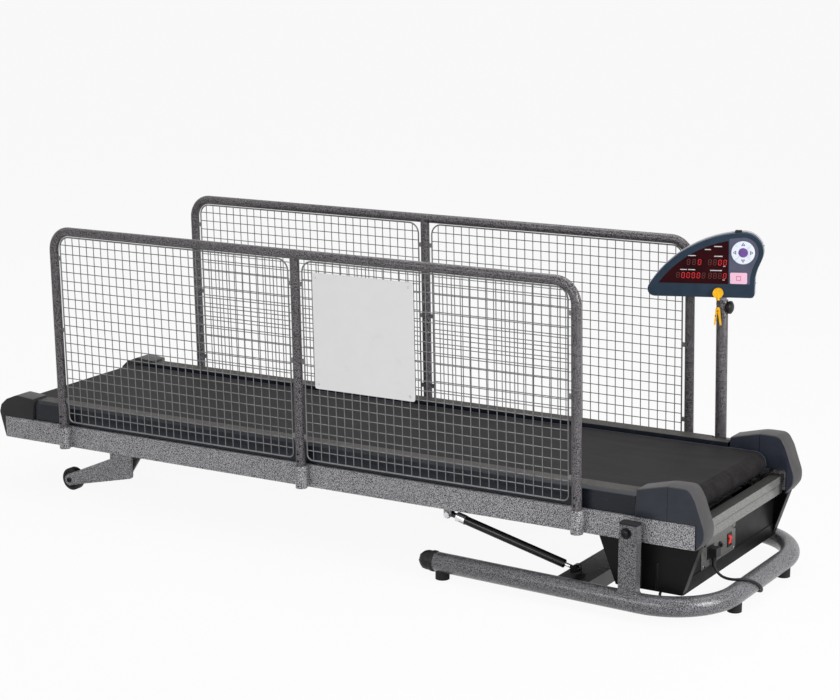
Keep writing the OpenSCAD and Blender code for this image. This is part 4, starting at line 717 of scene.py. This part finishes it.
def rolled_into(mesh, outline, y0, y1, edge, steps=4):
    """Block between y0 and y1 with the outline in X and Z, its two rims rolled by the radius edge."""
    rings = []
    for end, way in ((y0, 1), (y1, -1)):
        rows = []
        for step in range(steps + 1):
            turn = math.pi / 2 * step / steps
            depth = edge * (1 - math.sin(turn))
            y = end + way * edge * (1 - math.cos(turn))
            rows.append([mesh.verts.new((p.x, y, p.y)) for p in drawn_in(outline, depth)])
        rings += rows if way == 1 else rows[::-1]
    join_rings(mesh, rings, False)


def two_tone(name, side_colour, rim_colour, side_gloss, rim_gloss, seam_x):
    """Cover plastic: upright faces glossy in one colour, the rolled rim matt in another, one joint line."""
    material = new_finish(name, {"Specular IOR Level": 0.25, "Coat Weight": 0.05, "Coat Roughness": 0.2})
    tree = material.node_tree
    places = put(tree, "TexCoord").outputs
    way = put(tree, "SeparateXYZ", {0: places["Normal"]})
    tilt = put(tree, "Math", {0: way.outputs["Y"]}, operation="ABSOLUTE")
    flat = mapped(tree, tilt.outputs[0], 0.0, 1.0, 0.80, 0.93, interpolation_type="SMOOTHSTEP")
    spot = put(tree, "SeparateXYZ", {0: places["Object"]})
    aside = apart(tree, spot.outputs["X"], seam_x)
    groove = mapped(tree, aside, 0.15, 1.0, 0.0005, 0.001)
    cloud = spread(tree, noise(tree, places["Object"], 22.0, 3.0), 0.85, 1.12)
    colour = put(tree, "Mix", {"Factor": flat, 6: (*rim_colour, 1), 7: (*side_colour, 1)}, data_type="RGBA")
    shade = put(tree, "Math", {0: cloud, 1: groove}, operation="MULTIPLY")
    tint(material, colour.outputs[2], shade.outputs[0])
    join(material, "Roughness", mapped(tree, flat, rim_gloss, side_gloss))
    pits = noise(tree, places["Object"], 900.0)
    bump = put(tree, "Bump", {"Height": pits, "Strength": mapped(tree, flat, 0.22, 0.03), "Distance": 0.0004})
    join(material, "Normal", bump.outputs[0])
    return material


cover_plastic = two_tone("front_cover_plastic", (0.028, 0.032, 0.046), (0.054, 0.051, 0.053), 0.25, 0.5,
                         (deck_place @ Vector((86.6, 0, 70))).x)
cover_shape = rounded_outline(cover_outline, cover_radii)
for name, y0, y1 in (("near_front_cover", -296, -238), ("far_front_cover", 238, 296)):
    cover_mesh = bmesh.new()
    rolled_into(cover_mesh, cover_shape, y0, y1, 3.0)
    cover = finished(name, cover_mesh, cover_plastic, 40, deck_place)
    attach(cover, "deck")
    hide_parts("front_covers")

# Rear caps: two charcoal ABS end caps on the rear ends of the rails, over the rear roller's tension bolts.
# Their tops are greyer and matt, like the front covers' bands.
cap_outline = [(-2000.3, 30.3), (-1896, 30.3), (-1893, 91.5), (-1955, 96), (-1993, 81), (-2014, 63),
               (-2021, 42), (-2002, -28), (-2000.3, -28)]
cap_shape = rounded_outline(cap_outline, [0, 0, 3, 30, 20, 10, 0, 0, 0])
rear_plastic = two_tone("rear_cap_plastic", (0.012, 0.012, 0.014), (0.050, 0.049, 0.050), 0.30, 0.5, -5.0)
for name, y0, y1 in (("near_rear_cap", -296, -238), ("far_rear_cap", 238, 296)):
    cap_mesh = bmesh.new()
    rolled_into(cap_mesh, cap_shape, y0, y1, 0.6)
    cap = finished(name, cap_mesh, rear_plastic, 40, deck_place)
    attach(cap, "deck")
    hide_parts("rear_caps")

# Motor bay: a vacuum-formed black pan screwed up under the rails, and a folded control plate in fine
# hammertone that carries the mains inlet, the breaker and the red rocker switch.
pan_plastic = moulded("pan_black", (0.008, 0.008, 0.008), 0.34, 0.0014, 0.15, shine=0.1)
fitting_black = moulded("fitting_black", (0.012, 0.012, 0.013), 0.35, 0.0012)
dress(["motor_pan"], pan_plastic)
dress(["control_plate"], plate_paint)
dress(["power_fittings", "breaker_button"], fitting_black)
rocker_red = new_finish("rocker_red", {"Roughness": 0.42})
dress(["power_switch"], rocker_red)
rocker_cloud = noise(rocker_red.node_tree, spot_on(rocker_red), 200.0)
rocker_colour = ramp(rocker_red.node_tree, rocker_cloud, (0.60, 0.012, 0.010), (0.85, 0.03, 0.02))
join(rocker_red, "Base Color", rocker_colour)
soften(["motor_pan"], 0.0012)
soften(["control_plate", "power_fittings", "power_switch", "breaker_button"], 0.0006)

screw_tree, screw_in, screw_out = new_tree("screw_heads", [
    ("Geometry", "Geometry"), ("Head diameter", "Float"), ("Head height", "Float"), ("Finish", "Material")])


def head_share(measure, share):
    """A share of the screw head's diameter or height."""
    made = put(screw_tree, "Math", {0: screw_in.outputs[measure], 1: share}, operation="MULTIPLY")
    return made.outputs[0]


head = node_in(screw_tree, "GeometryNodeMeshCone", {"Vertices": 16,
                                                    "Radius Top": head_share("Head diameter", 0.3),
                                                    "Radius Bottom": head_share("Head diameter", 0.5),
                                                    "Depth": screw_in.outputs["Head height"]})
slot_deep = head_share("Head height", 1.2)
slot_wide = head_share("Head diameter", 0.12)
slot_long = head_share("Head diameter", 0.46)
slot_lift = node_in(screw_tree, "ShaderNodeCombineXYZ", {2: screw_in.outputs["Head height"]})
cut_head = head.outputs[0]
for length, width in ((slot_long, slot_wide), (slot_wide, slot_long)):
    size = node_in(screw_tree, "ShaderNodeCombineXYZ", {0: length, 1: width, 2: slot_deep})
    bar = node_in(screw_tree, "GeometryNodeMeshCube", {"Size": size.outputs[0]})
    lifted = node_in(screw_tree, "GeometryNodeTransform", {"Geometry": bar.outputs[0],
                                                           "Translation": slot_lift.outputs[0]})
    cut = node_in(screw_tree, "GeometryNodeMeshBoolean", {"Mesh 1": cut_head, "Mesh 2": lifted.outputs[0]},
                  operation="DIFFERENCE")
    cut_head = cut.outputs[0]
screws_set = repeated(screw_tree, screw_in.outputs["Geometry"], cut_head, True)
close_tree(screw_tree, screw_out, screws_set, screw_in.outputs["Finish"])


def screws(name, points, diameter, height, finish, place, body):
    """Cross-recessed screw heads at the points, each facing its own way."""
    sizes = {"Head diameter": diameter, "Head height": height, "Finish": finish}
    made = grown(name, screw_tree, points, sizes, place)
    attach(made, body)


plate_points = []
for y in (-164, 11):
    for z in (-114, -61):
        plate_points.append(((122.9, y, z), (1, 0, 0)))
screws("control_plate_screws", plate_points, 7.4, 1.8, black_bolt, deck_place, "deck")

# Drive: a 90 mm permanent-magnet motor in two steel hangers, its flywheel and pulley, a ribbed rubber belt
# up to the front roller, and the speed controller with its heat-sink fins on the floor of the pan.
dress(["drive_motor"], moulded("motor_enamel", (0.02, 0.02, 0.022), 0.4, 0.0015))
dress(["motor_mount"], zinc)
dress(["motor_pulley"], plated("cast_iron", (0.30, 0.30, 0.31), 0.45))
dress(["drive_belt"], foot_rubber)
dress(["motor_controller"], plated("heat_sink", (0.55, 0.56, 0.58), 0.5))
soften(["drive_motor", "motor_mount", "motor_pulley", "drive_belt", "motor_controller"], 0.0007)

# Gas strut: a glossy black cylinder with a bright plated collar at its upper end, and a ground steel rod with
# a black end. It pushes from the near end of the crossbar to a lug under the near rail, and takes the deck's
# weight.
strut_eye = deck_place @ Vector((-533, -262, -50))
strut_foot = base_place @ Vector((-172, -262, 72))
strut_way = (strut_foot - strut_eye).normalized()


def strut_finish(name, middle, half):
    """Black lacquer that is bright plated steel within half of a place along the strut, in metres."""
    material = new_finish(name, {"Specular IOR Level": 0.2, "Coat Weight": 0.1, "Coat Roughness": 0.06})
    tree = material.node_tree
    from_eye = put(tree, "VectorMath", {0: spot_on(material), 1: strut_eye}, operation="SUBTRACT")
    run = put(tree, "VectorMath", {0: from_eye.outputs[0], 1: strut_way}, operation="DOT_PRODUCT")
    off = apart(tree, run.outputs["Value"], middle)
    bright = mapped(tree, off, 1.0, 0.0, half - 0.0002, half + 0.0002)
    haze = noise(tree, spot_on(material), 45.0, 3.0)
    dark = ramp(tree, haze, (0.008, 0.008, 0.009), (0.016, 0.016, 0.018))
    colour = put(tree, "Mix", {"Factor": bright, 6: dark, 7: (0.72, 0.72, 0.74, 1)}, data_type="RGBA")
    join(material, "Base Color", colour.outputs[2])
    join(material, "Metallic", bright)
    join(material, "Roughness", mapped(tree, haze, 0.16, 0.32))
    return material


strut_length = (strut_foot - strut_eye).length
dress(["strut_cylinder"], strut_finish("strut_lacquer", 0.035, 0.013))
dress(["strut_rod"], strut_finish("strut_ground_rod", strut_length / 2, strut_length / 2 - 0.015))
soften(["strut_cylinder", "strut_rod"], 0.0008)

# Rear legs: two pairs of laser-cut plates on a cross tube, in a mid-grey hammertone, with a rubber-tyred
# wheel between the plates of each pair. They turn on bolts in the rails and set the deck's slope.
leg_paint = hammered("leg_hammertone", (0.07, 0.07, 0.073), (0.68, 0.67, 0.70), 0.0019, 0.4)
dress(["leg_frame"], leg_paint)
dress(["near_wheel", "far_wheel"], moulded("wheel_rubber", (0.018, 0.018, 0.019), 0.55, 0.0012, 0.2))
soften(["leg_frame"], 0.001)
axle_profile = [(6.5, -0.3), (6.5, 3.2), (5.4, 4.2), (3.4, 4.4), (3.2, 2.0)]
axle_mesh = bmesh.new()
for side in (-1, 1):
    ring_into(axle_mesh, axle_profile, facing_out(-1804, side * 261, -141.7, side), 24)
axle_heads = finished("wheel_axle_heads", axle_mesh, black_bolt, 30, deck_place)
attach(axle_heads, "rear_legs")
soften(["near_wheel", "far_wheel"], 0.0006)

# Lift: a geared motor on a crossmember, whose screw pushes a plated tube that turns the rear legs.
# The gearbox is die-cast and painted black.
dress(["lift_motor"], moulded("gearbox_black", (0.022, 0.022, 0.024), 0.42, 0.0018, 0.2))
dress(["lift_tube"], zinc)
soften(["lift_motor", "lift_tube"], 0.001)

# Side panels: 25 mm steel tube bent to a hoop with a middle post, welded, and stove-painted in a warm dark
# hammertone. The posts drop into the rail's sockets, and two black screws hold the mesh at each post's foot.
panel_paint = hammered("panel_hammertone", (0.018, 0.016, 0.017), (0.34, 0.32, 0.34), 0.0020, 0.4)
dress(["near_panel_frame", "far_panel_frame"], panel_paint)
for side, body in ((-1, "near_panel"), (1, "far_panel")):
    post_points = []
    for post in panel_posts:
        for z in (44, 63):
            post_points.append(((post, side * 324.6, z), (0, side, 0)))
    screws(body + "_post_screws", post_points, 7.0, 2.4, black_bolt, deck_place, body)

# Wire mesh: 2.5 mm wires welded at 25 mm pitch inside a 4 mm border wire, dull zinc, held to the posts by
# small welded tabs.
dress(["near_mesh", "far_mesh"], plated("mesh_zinc", (0.19, 0.19, 0.195), 0.45))

# Sign plate: a bare white powder-coated sheet on the near panel, with four small screws at its corners.
# The face is smooth with a faint orange peel.
sign_paint = moulded("sign_white", (0.90, 0.90, 0.90), 0.32, 0.0030, 0.03, 0.2, 0.01)
dress(["sign_plate"], sign_paint)
soften(["sign_plate"], 0.0007)
sign_x = -747
sign_z = 394.5
sign_reach = 138
sign_points = []
for x in (sign_x - sign_reach, sign_x + sign_reach):
    for z in (sign_z - sign_reach, sign_z + sign_reach):
        sign_points.append(((x, -318.2, z), (0, -1, 0)))
screws("sign_screws", sign_points, 6.5, 1.6, zinc, deck_place, "near_panel")

# Console post and clamp knob: a 30 mm tube welded to the far rail, and a ribbed black phenolic knob whose
# stud presses on the console's stub, to hold the console where it is turned.
dress(["console_post"], panel_paint)
soften(["console_post"], 0.0007)
dress(["clamp_knob"], fitting_black)
soften(["clamp_knob"], 0.0005)
grip_tree, grip_in, grip_out = new_tree("grip_ribs", [
    ("Geometry", "Geometry"), ("Ribs", "Int"), ("Radius", "Float"), ("Rib width", "Float"),
    ("Rib length", "Float"), ("Finish", "Material")])
grip_ring = node_in(grip_tree, "GeometryNodeMeshCircle", {"Vertices": grip_in.outputs["Ribs"],
                                                          "Radius": grip_in.outputs["Radius"]})
grip_bar = node_in(grip_tree, "GeometryNodeMeshCylinder", {"Vertices": 10,
                                                           "Radius": grip_in.outputs["Rib width"],
                                                           "Depth": grip_in.outputs["Rib length"]})
grip_bars = repeated(grip_tree, grip_ring.outputs[0], grip_bar.outputs[0])
grip_set = repeated(grip_tree, grip_in.outputs["Geometry"], grip_bars, True)
close_tree(grip_tree, grip_out, grip_set, grip_in.outputs["Finish"])
knob_ribs = grown("clamp_knob_ribs", grip_tree, [((-18.5, 281, 428), (1, 0, 0))], {
    "Ribs": 18, "Radius": 15.4, "Rib width": 1.3, "Rib length": 6.5, "Finish": fitting_black}, deck_place)
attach(knob_ribs, "clamp_knob")

# Console shells: a slate-blue moulded front and a pale grey back, screwed together from the side. A black
# rubber tab sits in the top of the joint.
console_turn = Matrix.Rotation(math.radians(19.5), 4, "Z")
console_place = deck_place @ Matrix.Translation((-40, 281, 458)) @ console_turn
dress(["console_front"], moulded("console_slate", (0.016, 0.031, 0.053), 0.42, 0.0010, 0.14))
dress(["console_back"], moulded("console_grey", (0.42, 0.41, 0.45), 0.42, 0.0010, 0.12, 0.0, 0.05))
soften(["console_front", "console_back"], 0.0012, 3)
tab_mesh = bmesh.new()
box_into(tab_mesh, (31, -18, 160), (48, -4, 170.6))
bmesh.ops.bevel(tab_mesh, geom=tab_mesh.edges[:], offset=1.0, segments=2, affect="EDGES", profile=0.5)
top_tab = finished("console_top_tab", tab_mesh, foot_rubber, 35, console_place)
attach(top_tab, "console")
side_points = [((83.2, -2, 34), (1, 0, 0)), ((102.4, -2, 130.8), (0.97, 0, 0.26))]
screws("console_side_screws", side_points, 5.5, 1.6, black_bolt, console_place, "console")

# Display: a smoked red acrylic window over two rows of seven-segment light-emitting digits, some of them lit.
# The captions are plain white bars printed on the window.
window_glass = new_finish("smoked_window", {"Roughness": 0.12, "Specular IOR Level": 0.05})
window_tree = window_glass.node_tree
window_cloud = noise(window_tree, spot_on(window_glass), 16.0)
window_red = ramp(window_tree, window_cloud, (0.012, 0.002, 0.003), (0.040, 0.004, 0.006))
join(window_glass, "Base Color", window_red)
dress(["display_window"], window_glass)
segment_ends = {"a": ((-1, 2), (1, 2)), "b": ((1, 2), (1, 0)), "c": ((1, 0), (1, -2)),
                "d": ((-1, -2), (1, -2)), "e": ((-1, 0), (-1, -2)), "f": ((-1, 2), (-1, 0)),
                "g": ((-1, 0), (1, 0))}
print_back = -29.9


def digit_into(mesh, s, z, segments):
    """Slanted seven-segment figure about 8.5 mm wide and 15 mm high, on the window's face."""
    for segment in segments:
        (x0, z0), (x1, z1) = segment_ends[segment]
        a, b = Vector((3.5 * x0, 3.3 * z0)), Vector((3.5 * x1, 3.3 * z1))
        along = (b - a).normalized()
        aside = Vector((-along.y, along.x)) * 0.75
        a, b = a + 0.4 * along, b - 0.4 * along
        corners = [a, a + 0.75 * along - aside, b - 0.75 * along - aside, b, b - 0.75 * along + aside,
                   a + 0.75 * along + aside]
        rings = []
        for y in (-30.06, print_back):
            rings.append([mesh.verts.new((s + c.x + 0.08 * c.y, y, z + c.y)) for c in corners])
        join_rings(mesh, rings, False)


def lit(name, colour, strength):
    """Glowing segment of one colour, a little uneven."""
    shown = (*colour, 1)
    material = new_finish(name, {"Base Color": shown, "Roughness": 0.3, "Emission Color": shown})
    tree = material.node_tree
    flicker = noise(tree, spot_on(material), 500.0)
    join(material, "Emission Strength", mapped(tree, flicker, 0.8 * strength, 1.2 * strength))
    return material


digit_rows = ((90, (-56.4, -4.9, 7.9), (-84.2, -70.3, -30.5, -17.7)),
              (55.5, (-97.9, -84.9, -71.9, -58.9, 7.5), (-110.9, -45.9, -29.7, -17.3, -4.9)))
lit_mesh = bmesh.new()
dim_mesh = bmesh.new()
for z, bright_places, dim_places in digit_rows:
    for s in bright_places:
        digit_into(lit_mesh, s, z, "abcdef")
        digit_into(dim_mesh, s, z, "g")
    for s in dim_places:
        digit_into(dim_mesh, s, z, "abcdefg")
lit_red = lit("lit_red", (0.55, 0.010, 0.012), 0.40)
dim_red = lit("dim_red", (0.075, 0.006, 0.006), 0.12)
lit_digits = finished("display_lit_digits", lit_mesh, lit_red, 35, console_place)
dim_digits = finished("display_dim_digits", dim_mesh, dim_red, 35, console_place)
caption_mesh = bmesh.new()
for s, z, width in ((-75.8, 106.5, 19), (-9.2, 106.1, 21), (-9.9, 131.2, 20), (-36, 122.9, 15),
                    (-97, 70.2, 18), (-76, 70.2, 18), (-14.6, 69.3, 30), (5.8, 80.4, 6), (4.7, 45.3, 6)):
    tall = 2.2 if width > 10 else 1.4
    box_into(caption_mesh, (s - width / 2, -30.07, z - tall / 2), (s + width / 2, print_back, z + tall / 2))
caption_white = moulded("caption_white", (0.62, 0.62, 0.63), 0.5, 0.0008, 0.05)
captions = finished("display_captions", caption_mesh, caption_white, 35, console_place)
for piece, slot in ((lit_digits, "red"), (dim_digits, "display"), (captions, "sign_white")):
    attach(piece, "console")

# Keypad: a printed lilac-grey membrane panel with a round white four-way pad, a purple centre key and a pink
# stop key. Each key gives a little when it is pressed, and the arrows and the stop square are printed on.
dress(["keypad_panel"], moulded("keypad_lilac", (0.085, 0.09, 0.135), 0.5, 0.0009, 0.1))
key_white = moulded("key_white", (0.77, 0.81, 0.91), 0.4, 0.0009, 0.08, 0.0, 0.03)
dress(["up_key", "down_key", "left_key", "right_key"], key_white)
dress(["select_key"], moulded("key_purple", (0.155, 0.075, 0.30), 0.4, 0.0009, 0.08))
dress(["stop_key"], moulded("key_pink", (0.85, 0.52, 0.66), 0.42, 0.0009, 0.08, 0.0, 0.03))
soften(["up_key", "down_key", "left_key", "right_key", "select_key", "stop_key"], 0.0004)
mark_ink = moulded("mark_ink", (0.035, 0.033, 0.05), 0.5, 0.0008, 0.05)
stop_ink = moulded("stop_ink", (0.62, 0.20, 0.36), 0.5, 0.0008, 0.05)


def frame_into(mesh, outer, inner):
    """Flat printed outline between two loops of points on the key's face."""
    front, back = -31.26, -31.1
    rings = []
    for y, loop in ((front, outer), (front, inner), (back, inner), (back, outer)):
        rings.append([mesh.verts.new((p.x, y, p.y)) for p in loop])
    join_rings(mesh, rings, True)


pad_middle = Vector((53, 116.5))
mark_reach = 21
for key, turn in (("right", 0), ("up", 90), ("left", 180), ("down", 270)):
    mark_mesh = bmesh.new()
    spin = Matrix.Rotation(math.radians(turn), 2)
    loops = []
    for size in (1.0, 0.45):
        foot = mark_reach - 3.4 * size
        half = 5.2 * size
        corners = [Vector((mark_reach + 4.6 * size, 0)), Vector((foot, half)), Vector((foot, -half))]
        loops.append([pad_middle + spin @ point for point in corners])
    frame_into(mark_mesh, *loops)
    mark = finished(key + "_key_mark", mark_mesh, mark_ink, 35, console_place)
    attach(mark, key + "_key")
stop_mesh = bmesh.new()
stop_loops = []
for half in (6.2, 4.0):
    ways = ((-1, -1), (1, -1), (1, 1), (-1, 1))
    stop_loops.append([Vector((42.5 + a * half, 50.5 + b * half)) for a, b in ways])
frame_into(stop_mesh, *stop_loops)
stop_mark = finished("stop_key_mark", stop_mesh, stop_ink, 35, console_place)
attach(stop_mark, "stop_key")

# Safety key: a yellow plastic disc that a magnet holds on the console, a short black woven cord moulded into
# it, and a yellow spring clip with two rivets, crimped on the cord's other end. Pulling the key off stops the
# belt.
key_yellow = moulded("key_yellow", (0.88, 0.46, 0.012), 0.35, 0.0012, 0.08)
dress(["safety_key", "clip_body", "clip_jaw"], key_yellow)
soften(["safety_key"], 0.0014, 3)
soften(["clip_body", "clip_jaw"], 0.0005)
cord_weave = new_finish("cord_weave", {"Roughness": 0.8})
weave_tree = cord_weave.node_tree
weave = put(weave_tree, "TexWave", {"Vector": spot_on(cord_weave), "Scale": 260.0, "Distortion": 2.0},
            bands_direction="DIAGONAL")
weave_black = ramp(weave_tree, weave.outputs[0], (0.006, 0.006, 0.006), (0.035, 0.035, 0.035))
join(cord_weave, "Base Color", weave_black)
weave_bump = put(weave_tree, "Bump", {"Height": weave.outputs[0], "Strength": 0.5, "Distance": 0.0004})
join(cord_weave, "Normal", weave_bump.outputs[0])
lanyard_route = [Vector((-8.5, -35, z)) for z in (2.7, 0.4, -1.8, -4.0)]
for step in range(17):
    t = step / 16
    lanyard_route.append(Vector((-8.5 - 1.5 * math.sin(math.pi * t), -35, -6.3 - 18 * t)))
lanyard_route += [Vector((-8.5, -35, z)) for z in (-26.3, -28.3)]
lanyard_mesh = bmesh.new()
sweep_into(lanyard_mesh, lanyard_route, [2.5 + 0.12 * (-1) ** i for i in range(len(lanyard_route))], 14)
lanyard = finished("safety_lanyard", lanyard_mesh, cord_weave, 60, console_place)
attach(lanyard, "safety_key")
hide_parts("lanyard")
rivet_mesh = bmesh.new()
for s, z in ((-8.5, -33.3), (-13.2, -46.3)):
    face = console_place @ Matrix.Translation((s, -39, z)) @ Matrix.Rotation(math.radians(90), 4, "X")
    ring_into(rivet_mesh, [(2.2, -0.3), (2.2, 0.3), (1.5, 0.8), (0.6, 1.0)], face, 16)
clip_rivets = finished("clip_rivets", rivet_mesh, plated("rivet_copper", (0.32, 0.10, 0.05), 0.4), 35)
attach(clip_rivets, "safety_key")
